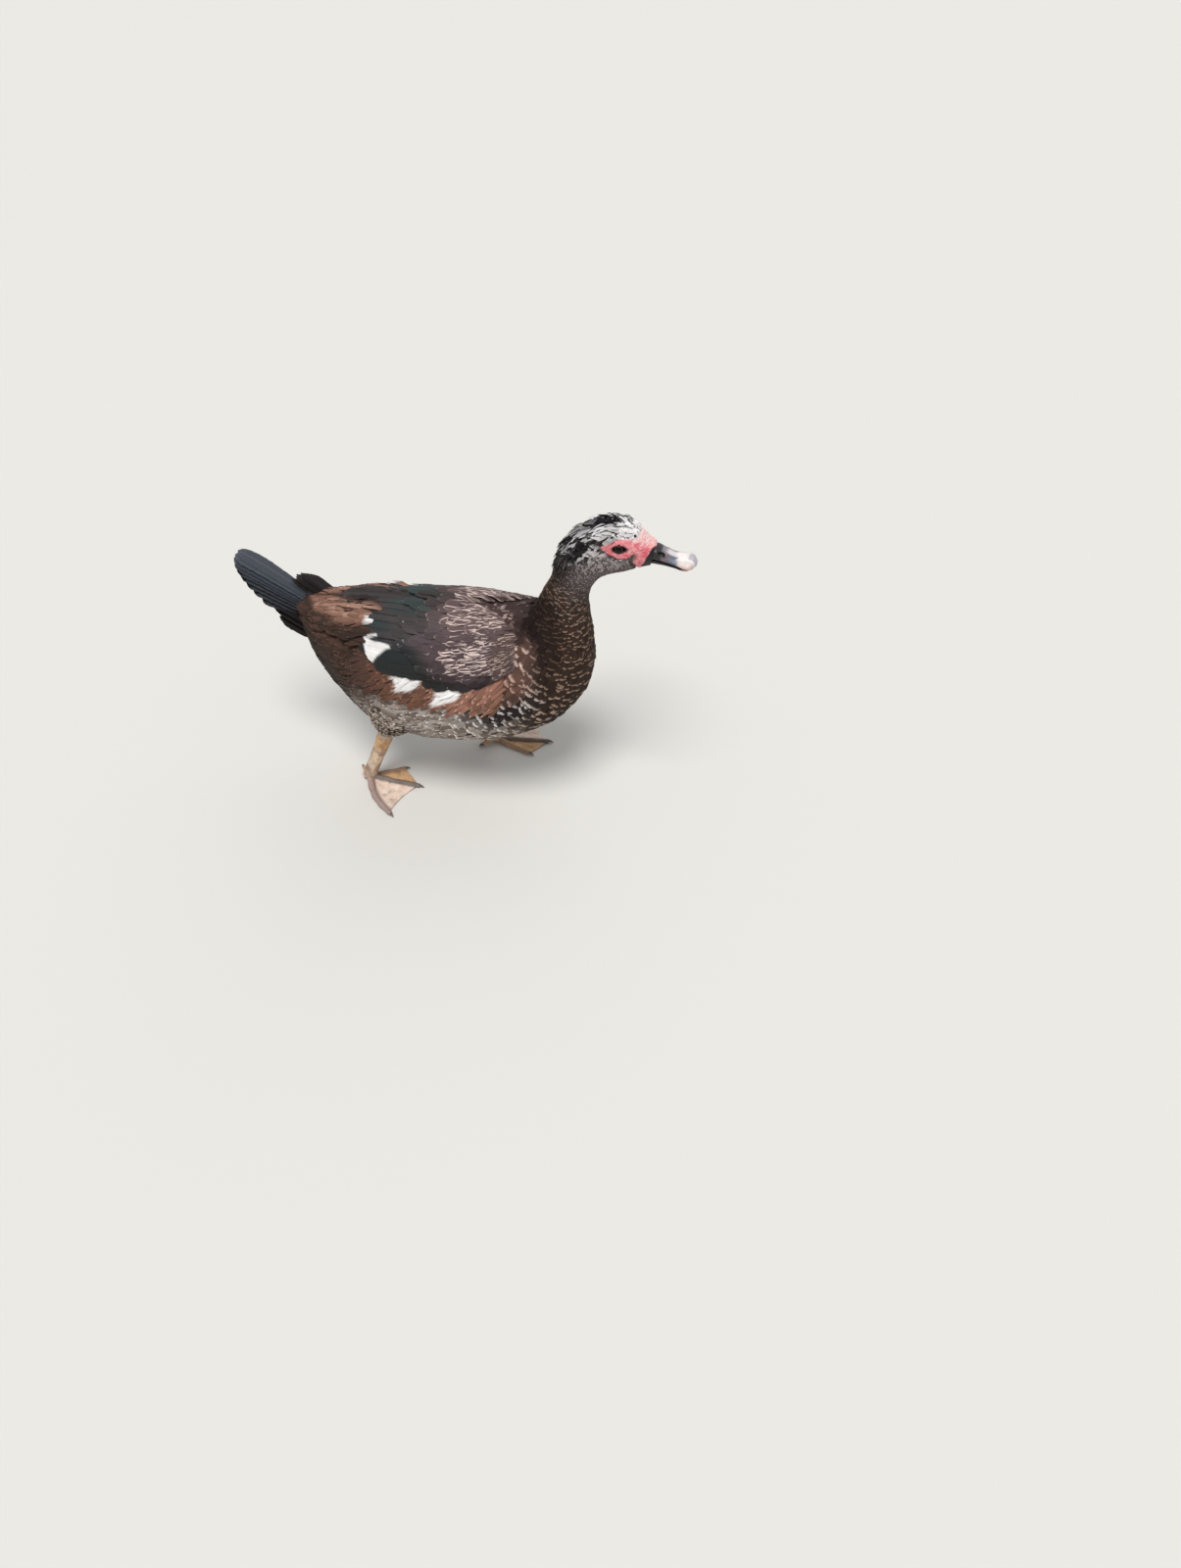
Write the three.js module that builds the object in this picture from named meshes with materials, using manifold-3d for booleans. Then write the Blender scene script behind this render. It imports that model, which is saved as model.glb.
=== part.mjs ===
// A muscovy duck in mid-stride: a still, life-size model, in millimetres.
// +X is the way the bird faces, +Y its left side, +Z up, and z = 0 the floor under its feet.
import * as THREE from "three";
import { mergeVertices } from "three/addons/utils/BufferGeometryUtils.js";
import Module from "manifold-3d";

const wasm = await Module();
wasm.setup();

// Driving dimensions
const GAP = 0.35; // between neighbouring pieces
const SIDES = 24; // facets round the body and neck
const HEAD_SIDES = 20;
const VANE_EDGE = 0.6; // thickness of a feather at its edges
const VANE_RIB = 1; // and along its shaft
const VANE_STEP = 1.25; // from one feather to the next one under it
const WING_CORE = 3; // depth of flesh and down under the wing's feathers
const EYE_RADIUS = 7.2;
const MASK_HEIGHT = 1.5; // how far the bare red skin stands above the feathered head
const TAIL_FEATHERS = 8; // pairs
const TAIL_LENGTH = 117;
const TAIL_RAISE = 32; // degrees
const TAIL_FAN = 9; // degrees from the middle of the tail to its outermost feather
const TAIL_TENT = 8; // how much lower the outermost feather lies than the middle ones
const TAIL_LEAN = 12; // degrees that the outermost feather leans outwards
const TAIL_ARCH = 3; // how far the tail's feathers bow upwards in their middle
const TOE_RADIUS = 4.2;
const OUTER_TOE_BOW = 7; // how far the outer toe bows outwards
const WEB_THICKNESS = 1.6;

// The bird's outline from rump to forehead. back and belly are the [x, z] of the two outlines in
// the midline plane, half is half the width there, and low moves the widest place down the side.
const TORSO_END = 9;
const NECK_END = 13;
const FLESH = [
  { back: [-186, 264], belly: [-190, 226], half: 25, low: 0 },
  { back: [-158, 268], belly: [-177, 182], half: 42, low: 0 },
  { back: [-120, 274], belly: [-144, 140], half: 62, low: -0.05 },
  { back: [-70, 280], belly: [-104, 104], half: 77, low: -0.1 },
  { back: [-15, 284], belly: [-46, 90], half: 85, low: -0.12 },
  { back: [35, 286], belly: [12, 93], half: 87, low: -0.12 },
  { back: [78, 289], belly: [75, 107], half: 84, low: -0.1 },
  { back: [104, 294], belly: [138, 138], half: 76, low: -0.05 },
  { back: [114, 302], belly: [175, 180], half: 62, low: 0 },
  { back: [119, 311], belly: [187, 222], half: 48, low: 0 },
  { back: [124, 322], belly: [186, 262], half: 37, low: 0 },
  { back: [131, 337], belly: [182, 298], half: 30, low: 0 },
  { back: [138, 352], belly: [180, 322], half: 26.5, low: 0 },
  { back: [142, 372], belly: [184, 340], half: 26, low: 0 },
  { back: [153, 397], belly: [191, 353], half: 27.5, low: 0 },
  { back: [176, 421], belly: [199, 363], half: 29, low: -0.1 },
  { back: [203, 434], belly: [210, 370], half: 28.5, low: -0.15 },
  { back: [231, 433], belly: [227, 375], half: 24, low: -0.1 },
  { back: [250, 418], belly: [244, 382], half: 17.5, low: 0 },
  { back: [261, 409], belly: [255, 386], half: 13, low: 0 },
];
const UPPER_BILL = [
  { back: [262.4, 410.5], belly: [258.9, 396], half: 12.8, low: -0.4 },
  { back: [272, 406], belly: [271, 394.8], half: 12.4, low: -0.45 },
  { back: [283, 401.4], belly: [283, 392.8], half: 13, low: -0.5 },
  { back: [293, 398.6], belly: [293, 391.2], half: 14.3, low: -0.5 },
  { back: [301, 396.6], belly: [301, 389.8], half: 14, low: -0.5 },
  { back: [306.5, 394.4], belly: [306, 388.8], half: 10.6, low: -0.5 },
  { back: [309.5, 391.3], belly: [309, 388.2], half: 5.4, low: -0.4 },
];
const LOWER_BILL = [
  { back: [258.7, 395.4], belly: [256.8, 388.2], half: 11.4, low: 0.45 },
  { back: [271, 394.2], belly: [270, 387.2], half: 10.8, low: 0.45 },
  { back: [283, 392.2], belly: [282.5, 386], half: 11.2, low: 0.45 },
  { back: [293, 390.6], belly: [292.5, 384.8], half: 12.4, low: 0.45 },
  { back: [300.5, 389.2], belly: [300, 384.6], half: 11.6, low: 0.45 },
  { back: [305.5, 388.2], belly: [305, 385.2], half: 7.2, low: 0.4 },
];

// Materials
const paint = (color, roughness) => new THREE.MeshStandardMaterial({ color, roughness, metalness: 0 });
const MATERIALS = {
  feathers: paint(0x4a3a33, 0.75),
  wing: paint(0x2a2c2c, 0.5),
  tail: paint(0x25282c, 0.5),
  headFeathers: paint(0x4a4646, 0.8),
  face: paint(0xc8454b, 0.55),
  bill: paint(0x8f8a8c, 0.4),
  eye: paint(0x2a1a10, 0.1),
  leg: paint(0xa07a45, 0.6),
};

const radians = THREE.MathUtils.degToRad;
const lerp = THREE.MathUtils.lerp;

// A smooth curve through a row of numbers, read at a place u along them.
function along(values, u) {
  const last = values.length - 1;
  const i = Math.min(Math.max(Math.floor(u), 0), last - 1);
  const t = u - i;
  const at = (k) => values[Math.min(Math.max(k, 0), last)];
  const [a, b, c, d] = [at(i - 1), at(i), at(i + 1), at(i + 2)];
  return b + 0.5 * t * (c - a + t * (2 * a - 5 * b + 4 * c - d + t * (3 * (b - c) + d - a)));
}

// The outline at station u: two midline points, the half width, and where it is widest.
function stationAt(stations, u) {
  const read = (pick) => along(stations.map(pick), u);
  return {
    back: new THREE.Vector3(read((s) => s.back[0]), 0, read((s) => s.back[1])),
    belly: new THREE.Vector3(read((s) => s.belly[0]), 0, read((s) => s.belly[1])),
    half: read((s) => s.half),
    low: read((s) => s.low),
  };
}

// A point of the surface: angle 0 is the back, 90 the left side, 180 the belly and -90 the right side.
function surfacePoint(stations, u, degrees, grow = 0) {
  const { back, belly, half, low } = stationAt(stations, u);
  const middle = back.clone().add(belly).multiplyScalar(0.5);
  const rise = back.clone().sub(middle);
  rise.setLength(rise.length() + grow);
  const a = radians(degrees);
  const height = Math.cos(a) + low * Math.sin(a) ** 2;
  const point = middle.addScaledVector(rise, height);
  point.y = (half + grow) * Math.sin(a);
  return point;
}

// The surface's outward direction at that place.
function surfaceNormal(stations, u, degrees) {
  const step = 0.02;
  const turn = 1.5;
  const last = stations.length - 1;
  const ahead = surfacePoint(stations, Math.min(u + step, last), degrees);
  const forward = ahead.sub(surfacePoint(stations, Math.max(u - step, 0), degrees));
  const round = surfacePoint(stations, u, degrees + turn).sub(surfacePoint(stations, u, degrees - turn));
  return forward.cross(round).normalize();
}

// A closed surface through rings that have the same number of points.
function closedLoft(rings) {
  const count = rings[0].length;
  const points = rings.flat();
  const faces = [];
  for (let r = 0; r + 1 < rings.length; r++) {
    for (let k = 0; k < count; k++) {
      const here = r * count + k;
      const next = r * count + ((k + 1) % count);
      faces.push([here, next, next + count], [here, next + count, here + count]);
    }
  }
  const capEnd = (start, flip) => {
    const centre = new THREE.Vector3();
    for (let k = 0; k < count; k++) centre.add(points[start + k]);
    points.push(centre.divideScalar(count));
    const middle = points.length - 1;
    for (let k = 0; k < count; k++) {
      const next = start + ((k + 1) % count);
      faces.push(flip ? [middle, next, start + k] : [middle, start + k, next]);
    }
  };
  capEnd(0, true);
  capEnd((rings.length - 1) * count, false);
  return solidFrom(points, faces);
}

// A solid from points and triangles, with its faces turned outwards.
function solidFrom(points, faces) {
  let volume = 0;
  for (const [a, b, c] of faces) volume += points[a].dot(points[b].clone().cross(points[c]));
  const turned = volume < 0 ? faces.map(([a, b, c]) => [a, c, b]) : faces;
  return new wasm.Manifold(
    new wasm.Mesh({
      numProp: 3,
      vertProperties: new Float32Array(points.flatMap((p) => [p.x, p.y, p.z])),
      triVerts: new Uint32Array(turned.flat()),
    }),
  );
}

// A three.js geometry as a solid.
function solidOf(geometry) {
  const bare = new THREE.BufferGeometry();
  bare.setAttribute("position", geometry.getAttribute("position"));
  bare.setIndex(geometry.getIndex());
  const merged = mergeVertices(bare, 1e-4);
  const position = merged.getAttribute("position");
  const points = [];
  for (let i = 0; i < position.count; i++) points.push(new THREE.Vector3().fromBufferAttribute(position, i));
  const index = merged.getIndex().array;
  const faces = [];
  for (let i = 0; i < index.length; i += 3) {
    const face = [index[i], index[i + 1], index[i + 2]];
    if (new Set(face).size === 3) faces.push(face);
  }
  return solidFrom(points, faces);
}

const union = (solids) => wasm.Manifold.union(solids);

// The largest closed body of a solid.
function largest(made) {
  const bodies = made.decompose();
  return bodies.reduce((best, body) => (body.volume() > best.volume() ? body : best));
}

// A stretch of the body from station a to station b. trim moves each end inwards along the bird.
function stretch(stations, a, b, { grow = 0, trim = 0, sides = SIDES, step = 1 } = {}) {
  const rings = [];
  const steps = Math.max(Math.round((b - a) / step), 1);
  for (let i = 0; i <= steps; i++) {
    const u = lerp(a, b, i / steps);
    const ring = [];
    for (let k = 0; k < sides; k++) ring.push(surfacePoint(stations, u, (360 * k) / sides, grow));
    rings.push(ring);
  }
  const shift = (ring, u, distance) => {
    const { back, belly } = stationAt(stations, u);
    const across = back.clone().sub(belly).normalize();
    const forward = new THREE.Vector3(across.z, 0, -across.x);
    ring.forEach((p) => p.addScaledVector(forward, distance));
  };
  shift(rings[0], a, trim);
  shift(rings[steps], b, -trim);
  return closedLoft(rings);
}

// An ellipsoid at a place, with its own half lengths and a turn in degrees about X, Y and Z.
function ellipsoid(centre, halves, { turn = [0, 0, 0], wide = 16, high = 10 } = {}) {
  const geometry = new THREE.SphereGeometry(1, wide, high);
  const matrix = new THREE.Matrix4().compose(
    new THREE.Vector3(...centre),
    new THREE.Quaternion().setFromEuler(new THREE.Euler(...turn.map(radians))),
    new THREE.Vector3(...halves),
  );
  return solidOf(geometry.applyMatrix4(matrix));
}

// A tapering limb along a path of [x, y, z, radius] places. flat squeezes it across the path.
function limb(path, { sides = 12, flat = 1, turns = 4 } = {}) {
  const curve = new THREE.CatmullRomCurve3(path.map(([x, y, z]) => new THREE.Vector3(x, y, z)));
  const radii = path.map((p) => p[3]);
  const steps = (path.length - 1) * turns;
  const rings = [];
  for (let i = 0; i <= steps; i++) {
    const t = i / steps;
    const centre = curve.getPoint(t);
    const ahead = curve.getTangent(t);
    const across = new THREE.Vector3(0, 0, 1).cross(ahead);
    if (across.length() < 0.2) across.set(0, 1, 0);
    across.normalize();
    const up = ahead.clone().cross(across).normalize();
    const radius = along(radii, t * (path.length - 1));
    const ring = [];
    for (let k = 0; k < sides; k++) {
      const a = (2 * Math.PI * k) / sides;
      const point = centre.clone().addScaledVector(across, radius * Math.cos(a));
      ring.push(point.addScaledVector(up, radius * flat * Math.sin(a)));
    }
    rings.push(ring);
  }
  return closedLoft(rings);
}

// How wide a feather is along its length, as a share of its greatest width.
const VANE_PLACES = [0, 0.4, 0.75, 0.93, 1];
const VANE_WIDTHS = [0.45, 0.92, 1, 0.7, 0.25];

// A flat, tapered feather. place(t) gives its shaft's point and its outward direction, and curve is
// the radius of the body that its two vanes bend round.
function vane(place, halfWidth, { roll = 0, curve = 90, thick = 1, places = VANE_PLACES, widths = VANE_WIDTHS } = {}) {
  const [top, bottom] = [[], []];
  places.forEach((t, i) => {
    const { point, normal } = place(t);
    const before = place(Math.max(t - 0.04, 0)).point;
    const ahead = place(Math.min(t + 0.04, 1)).point.sub(before).normalize();
    const side = ahead.clone().cross(normal).normalize();
    const out = side.clone().cross(ahead).normalize();
    side.applyAxisAngle(ahead, radians(roll));
    out.applyAxisAngle(ahead, radians(roll));
    const w = halfWidth * widths[i];
    const sink = w ** 2 / (2 * curve);
    const corner = (share, depth) =>
      point
        .clone()
        .addScaledVector(side, w * share)
        .addScaledVector(out, depth - (share === 0 ? 0 : sink));
    const [edge, rib] = [(VANE_EDGE / 2) * thick, (VANE_RIB / 2) * thick];
    top.push([corner(-1, edge), corner(0, rib), corner(1, edge)]);
    bottom.push([corner(-1, -edge), corner(0, -rib), corner(1, -edge)]);
  });
  return slab(top, bottom);
}

// A feather that lies on the body: root and tip are [station, degrees from the back], and lift is
// its height above the body at its root and at its tip.
function bodyVane(side, root, tip, lift, halfWidth, options = {}) {
  const { bow = 0 } = options;
  const place = (t) => {
    const u = lerp(root[0], tip[0], t);
    const degrees = side * (lerp(root[1], tip[1], t) + bow * Math.sin(Math.PI * t));
    const normal = surfaceNormal(FLESH, u, degrees);
    const raise = lerp(lift[0], lift[1], Math.min(t / 0.35, 1));
    return { point: surfacePoint(FLESH, u, degrees).addScaledVector(normal, raise), normal };
  };
  return vane(place, halfWidth, { ...options, roll: side * (options.roll ?? 0) });
}

// A row of body feathers between a first and a last, each given as root, tip, lift and half width.
function vaneRow(side, count, first, last, options = {}) {
  const row = [];
  for (let i = 0; i < count; i++) {
    const t = count > 1 ? i / (count - 1) : 0;
    const mix = (key, k) => lerp(first[key][k], last[key][k], t);
    const pair = (key) => [mix(key, 0), mix(key, 1)];
    row.push(bodyVane(side, pair("root"), pair("tip"), pair("lift"), lerp(first.half, last.half, t), options));
  }
  return row;
}

// A box that keeps only what is inside it.
function block(low, high) {
  const size = high.map((h, i) => h - low[i]);
  const geometry = new THREE.BoxGeometry(...size);
  geometry.translate(...high.map((h, i) => (h + low[i]) / 2));
  return solidOf(geometry);
}

const HEAD_CUT = { sides: HEAD_SIDES, step: 0.5 };

// Torso, neck and head
function torso() {
  return stretch(FLESH, 0, TORSO_END, { trim: GAP / 2 });
}

function neck() {
  return stretch(FLESH, TORSO_END, NECK_END, { trim: GAP / 2, step: 0.5 });
}

// The eye's centre sits under the skin on a ring of the head.
const EYE_STATION = 16.66;
const EYE_ANGLE = 66;
const EYE_DEPTH = 4.6;

function eyeCentre(side) {
  const degrees = side * EYE_ANGLE;
  const normal = surfaceNormal(FLESH, EYE_STATION, degrees);
  return surfacePoint(FLESH, EYE_STATION, degrees).addScaledVector(normal, -EYE_DEPTH);
}

function eyeball(side, radius) {
  const geometry = new THREE.SphereGeometry(radius, 12, 8);
  geometry.translate(...eyeCentre(side).toArray());
  return solidOf(geometry);
}

// Low crest feathers in rows over the crown and down the nape.
const CREST_ROWS = [
  { station: 16.9, spread: [-20, 20] },
  { station: 16.15, spread: [-40, 0, 40] },
  { station: 15.4, spread: [-56, -19, 19, 56] },
  { station: 14.6, spread: [-66, -33, 0, 33, 66] },
  { station: 13.9, spread: [-48, -16, 16, 48] },
];
const SHORT_PLACES = [0, 0.45, 0.85, 1];
const SHORT_WIDTHS = [0.5, 1, 0.85, 0.3];
const SHORT = { places: SHORT_PLACES, widths: SHORT_WIDTHS };

function crest() {
  return CREST_ROWS.flatMap(({ station, spread }) =>
    spread.map((degrees) => {
      const tip = [Math.max(station - 1, NECK_END + 0.15), degrees * 1.08];
      return bodyVane(1, [station, degrees], tip, [-1.2, 3], 7.5, { ...SHORT, curve: 40 });
    }),
  );
}

function head() {
  const skull = stretch(FLESH, NECK_END, FLESH.length - 1, { trim: GAP / 2, ...HEAD_CUT });
  const belowHead = stretch(FLESH, NECK_END - 2, NECK_END, { grow: 8, trim: -GAP / 2 });
  const feathers = union(crest()).subtract(union([prism(MASK_OUTLINE, 1.05), belowHead, ...knobs(GAP)]));
  const sockets = [1, -1].map((side) => eyeball(side, EYE_RADIUS + GAP));
  return largest(union([skull, feathers]).subtract(union(sockets)));
}

// A side outline pushed out to both sides, and scaled about its own middle.
function prism(outline, scale = 1) {
  const middle = outline.reduce((sum, [x, z]) => sum.add(new THREE.Vector2(x, z)), new THREE.Vector2());
  middle.divideScalar(outline.length);
  const corners = outline.map(([x, z]) => new THREE.Vector2(x, z).sub(middle).multiplyScalar(scale).add(middle));
  const geometry = new THREE.ExtrudeGeometry(new THREE.Shape(corners), { depth: 80, bevelEnabled: false });
  return solidOf(geometry.rotateX(Math.PI / 2).translate(0, 40, 0));
}

// The bare skin round the eye and the bill's base, in side view, as [x, z].
const MASK_OUTLINE = [
  [201, 413],
  [211, 420.5],
  [223, 424],
  [235, 425],
  [240, 430],
  [244, 442],
  [253, 442],
  [270, 424],
  [270, 378],
  [245, 378],
  [238, 389],
  [240, 399],
  [236, 402.5],
  [224, 400.5],
  [211, 404.5],
];
// Knobs of the bare skin, as station, degrees from the back, and radius.
const CARUNCLES = [
  [18.6, 14, 3.2],
  [18.5, 44, 2.6],
  [18.6, 84, 2.5],
  [18.6, 122, 2.6],
  [17.8, 50, 2.3],
  [17.1, 48, 2.0],
  [16.2, 52, 2.0],
  [15.9, 76, 2.0],
  [16.6, 93, 2.1],
  [17.5, 98, 2.3],
];

function knobs(grow = 0) {
  return [1, -1].flatMap((side) =>
    CARUNCLES.map(([u, degrees, radius]) => {
      const spot = surfacePoint(FLESH, u, side * degrees, GAP + MASK_HEIGHT * 0.6);
      const size = radius + grow;
      return ellipsoid(spot.toArray(), [size, size, size * 0.85], { wide: 6, high: 3 });
    }),
  );
}

function faceMask() {
  const from = 15;
  const to = FLESH.length - 1;
  const outer = stretch(FLESH, from, to, { grow: GAP + MASK_HEIGHT, trim: GAP / 2, ...HEAD_CUT });
  const inner = stretch(FLESH, from, to, { grow: GAP, trim: -3, ...HEAD_CUT });
  const lids = [1, -1].map((side) => {
    const centre = eyeCentre(side);
    const normal = surfaceNormal(FLESH, EYE_STATION, side * EYE_ANGLE);
    const geometry = new THREE.TorusGeometry(EYE_RADIUS - 0.6, 1.5, 4, 12);
    geometry.scale(1.12, 0.86, 1);
    geometry.applyQuaternion(new THREE.Quaternion().setFromUnitVectors(new THREE.Vector3(0, 0, 1), normal));
    geometry.translate(...centre.addScaledVector(normal, EYE_DEPTH + MASK_HEIGHT).toArray());
    return solidOf(geometry);
  });
  const shell = outer.intersect(prism(MASK_OUTLINE));
  const beyondBill = stretch(FLESH, to - 0.4, to, { grow: 6, trim: -12 }).subtract(
    stretch(FLESH, to - 1, to, { grow: 8, trim: GAP / 2 }),
  );
  const eyes = [1, -1].map((side) => eyeball(side, EYE_RADIUS + GAP));
  const made = union([shell, ...knobs(), ...lids]).subtract(union([inner, beyondBill, ...eyes]));
  return largest(made);
}

// Bill
function upperBill() {
  const horn = stretch(UPPER_BILL, 0, UPPER_BILL.length - 1, { sides: 18 });
  const nail = ellipsoid([304.6, 0, 393], [6.6, 5.4, 2.4], { turn: [0, 16, 0], wide: 12, high: 8 });
  const nostrils = [1, -1].map((side) =>
    ellipsoid([268, side * 9.4, 404.4], [3.8, 2.6, 1.4], { turn: [0, 22, 0], wide: 10, high: 6 }),
  );
  return largest(union([horn, nail]).subtract(union(nostrils)));
}

function lowerBill() {
  return stretch(LOWER_BILL, 0, LOWER_BILL.length - 1, { sides: 18 });
}

// Wings, each a core that hugs the body with the feathers in tiers over it
const WING_EDGES = [
  { station: 1.8, top: 14, bottom: 42 },
  { station: 2.3, top: 9, bottom: 66 },
  { station: 3, top: 8, bottom: 80 },
  { station: 4, top: 8, bottom: 84 },
  { station: 5, top: 9, bottom: 82 },
  { station: 6, top: 14, bottom: 76 },
  { station: 6.9, top: 28, bottom: 62 },
];

function wingCore(side) {
  const [lengthwise, round] = [9, 6];
  const top = [];
  const bottom = [];
  for (let i = 0; i <= lengthwise; i++) {
    const t = (i / lengthwise) * (WING_EDGES.length - 1);
    const u = along(WING_EDGES.map((e) => e.station), t);
    const [high, low] = ["top", "bottom"].map((key) => along(WING_EDGES.map((e) => e[key]), t));
    const end = Math.sin((Math.PI * (i + 0.6)) / (lengthwise + 1.2)) ** 0.5;
    top.push([]);
    bottom.push([]);
    for (let k = 0; k <= round; k++) {
      const degrees = side * lerp(high, low, k / round);
      const crown = Math.sin((Math.PI * (k + 0.6)) / (round + 1.2)) ** 0.5;
      const normal = surfaceNormal(FLESH, u, degrees);
      const foot = surfacePoint(FLESH, u, degrees);
      top[i].push(foot.clone().addScaledVector(normal, 0.8 + WING_CORE * end * crown));
      bottom[i].push(foot.clone().addScaledVector(normal, -4));
    }
  }
  return slab(top, bottom);
}

// A closed slab between two grids of points, both split along the same diagonals.
function slab(top, bottom) {
  const [rows, columns] = [top.length, top[0].length];
  const points = [...top.flat(), ...bottom.flat()];
  const under = rows * columns;
  const faces = [];
  const quad = (a, b, c, d) => faces.push([a, b, c], [a, c, d]);
  for (let i = 0; i + 1 < rows; i++) {
    for (let k = 0; k + 1 < columns; k++) {
      const a = i * columns + k;
      quad(a, a + 1, a + columns + 1, a + columns);
      faces.push([under + a, under + a + columns + 1, under + a + 1]);
      faces.push([under + a, under + a + columns, under + a + columns + 1]);
    }
  }
  for (let i = 0; i + 1 < rows; i++) {
    const [a, b] = [i * columns, (i + 1) * columns];
    quad(a, b, under + b, under + a);
    const [c, d] = [a + columns - 1, b + columns - 1];
    quad(d, c, under + c, under + d);
  }
  for (let k = 0; k + 1 < columns; k++) {
    quad(k + 1, k, under + k, under + k + 1);
    const a = (rows - 1) * columns + k;
    quad(a, a + 1, under + a + 1, under + a);
  }
  return solidFrom(points, faces);
}

// The rows of wing feathers, from the lowest tier to the highest. Each row runs from a first feather
// to a last one, both given as root and tip [station, degrees], lift and half width.
const WING_ROWS = [
  {
    count: 4,
    first: { root: [3.3, 55], tip: [1.85, 42], lift: [1, 3.2], half: 7.5 },
    last: { root: [2.9, 30], tip: [1.5, 22], lift: [1, 3.2], half: 7 },
    reaches: true,
  },
  {
    count: 6,
    first: { root: [5.5, 79], tip: [3.3, 83], lift: [1, 5.4], half: 8.5 },
    last: { root: [4.1, 42], tip: [2.05, 42], lift: [1, 5.4], half: 8.5 },
  },
  {
    count: 3,
    first: { root: [4.5, 31], tip: [2.0, 32], lift: [1, 8], half: 8.5 },
    last: { root: [4.5, 13], tip: [1.8, 13], lift: [1, 8], half: 8.5 },
  },
  {
    count: 6,
    first: { root: [6.1, 76], tip: [4.8, 81], lift: [1, 8.3], half: 8.5 },
    last: { root: [5.2, 42], tip: [3.6, 40], lift: [1, 8.3], half: 8.5 },
    cut: SHORT,
  },
  {
    count: 5,
    first: { root: [6.8, 67], tip: [5.4, 75], lift: [1, 11.2], half: 8.5 },
    last: { root: [6.1, 42], tip: [4.6, 40], lift: [1, 11.2], half: 8.5 },
    cut: SHORT,
  },
  {
    count: 3,
    first: { root: [5.4, 30], tip: [3.5, 30], lift: [1, 11.2], half: 8.5 },
    last: { root: [5.4, 12], tip: [3.4, 12], lift: [1, 11.2], half: 8.5 },
    cut: SHORT,
  },
  {
    count: 3,
    first: { root: [6.6, 33], tip: [5.1, 30], lift: [1, 13.6], half: 8.5 },
    last: { root: [6.4, 14], tip: [4.9, 12], lift: [1, 13.6], half: 8.5 },
    cut: SHORT,
  },
];
// How much further back, in stations, the left wing's long feathers reach as the bird steps.
const LEFT_REACH = 0.9;

function wing(side) {
  const feathers = WING_ROWS.flatMap(({ count, first, last, cut, reaches }) => {
    const reach = reaches && side > 0 ? LEFT_REACH : 0;
    const drawn = ({ tip, ...rest }) => ({ ...rest, tip: [tip[0] - reach, tip[1]] });
    return vaneRow(side, count, drawn(first), drawn(last), { roll: 9, ...cut });
  });
  const ownSide = side > 0 ? block([-400, GAP / 2, 0], [400, 300, 500]) : block([-400, -300, 0], [400, -GAP / 2, 500]);
  const body = stretch(FLESH, 0, TORSO_END, { grow: GAP, trim: -1 });
  return largest(union([wingCore(side), ...feathers]).subtract(body).intersect(ownSide));
}

// Tail: a fan of flight feathers under two rows of coverts, from one root
const TAIL_ROOT = [-174, 0, 258];
// Tail coverts as spread in degrees, length, and layer counted down from the middle tail feather.
const COVERTS_ABOVE = [
  [26, 40, -5.2],
  [-16, 42, -1.2],
  [14, 46, -7.4],
  [-7, 50, -3.2],
  [3, 54, -6.2],
];
const COVERTS_BELOW = [
  [12, 44, 15.4],
  [-12, 44, 16.4],
  [0, 54, 17.4],
];

function tailVane(spread, length, drop, halfWidth, { start = 0, across = 0, ...cut } = {}) {
  const level = new THREE.Vector3(0, 1, 0);
  const up = new THREE.Vector3(0, 0, 1).applyAxisAngle(level, radians(TAIL_RAISE));
  const middle = new THREE.Vector3(-1, 0, 0).applyAxisAngle(level, radians(TAIL_RAISE));
  const ahead = middle.applyAxisAngle(up, radians(-spread));
  const root = new THREE.Vector3(...TAIL_ROOT).addScaledVector(level, across).addScaledVector(up, -drop);
  const place = (t) => {
    const reach = lerp(start, length, t);
    const arch = (TAIL_ARCH * 4 * reach * (TAIL_LENGTH - reach)) / TAIL_LENGTH ** 2;
    return { point: root.clone().addScaledVector(ahead, reach).addScaledVector(up, arch), normal: up };
  };
  return vane(place, halfWidth, { curve: 260, ...cut });
}

function tail() {
  const feathers = [];
  for (let i = 0; i < TAIL_FEATHERS; i++) {
    const out = i / (TAIL_FEATHERS - 1);
    const length = TAIL_LENGTH * (1 - 0.45 * out ** 2);
    for (const side of [1, -1]) {
      const layer = i < 2 ? 2 * i + (side < 0 ? 1 : 0) : i + 2;
      const drop = layer * VANE_STEP + TAIL_TENT * out ** 2;
      const lean = { across: side * (1.5 + 1.7 * i), roll: side * TAIL_LEAN * out };
      feathers.push(tailVane(side * (1 + (TAIL_FAN - 1) * out), length, drop, 12, lean));
    }
  }
  for (const [spread, length, layer] of COVERTS_ABOVE) {
    feathers.push(tailVane(spread, length, layer * VANE_STEP, 10, { start: -6, ...SHORT }));
  }
  for (const [spread, length, layer] of COVERTS_BELOW) {
    feathers.push(tailVane(spread, length, layer * VANE_STEP, 10, { start: -4, ...SHORT }));
  }
  const [x, y, z] = TAIL_ROOT;
  const root = ellipsoid([x - 8, y, z - 6], [26, 24, 15], { turn: [0, TAIL_RAISE, 0], wide: 14, high: 8 });
  const body = stretch(FLESH, 0, 4, { grow: GAP, trim: -GAP / 2 });
  return largest(union([root, ...feathers]).subtract(body));
}

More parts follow.
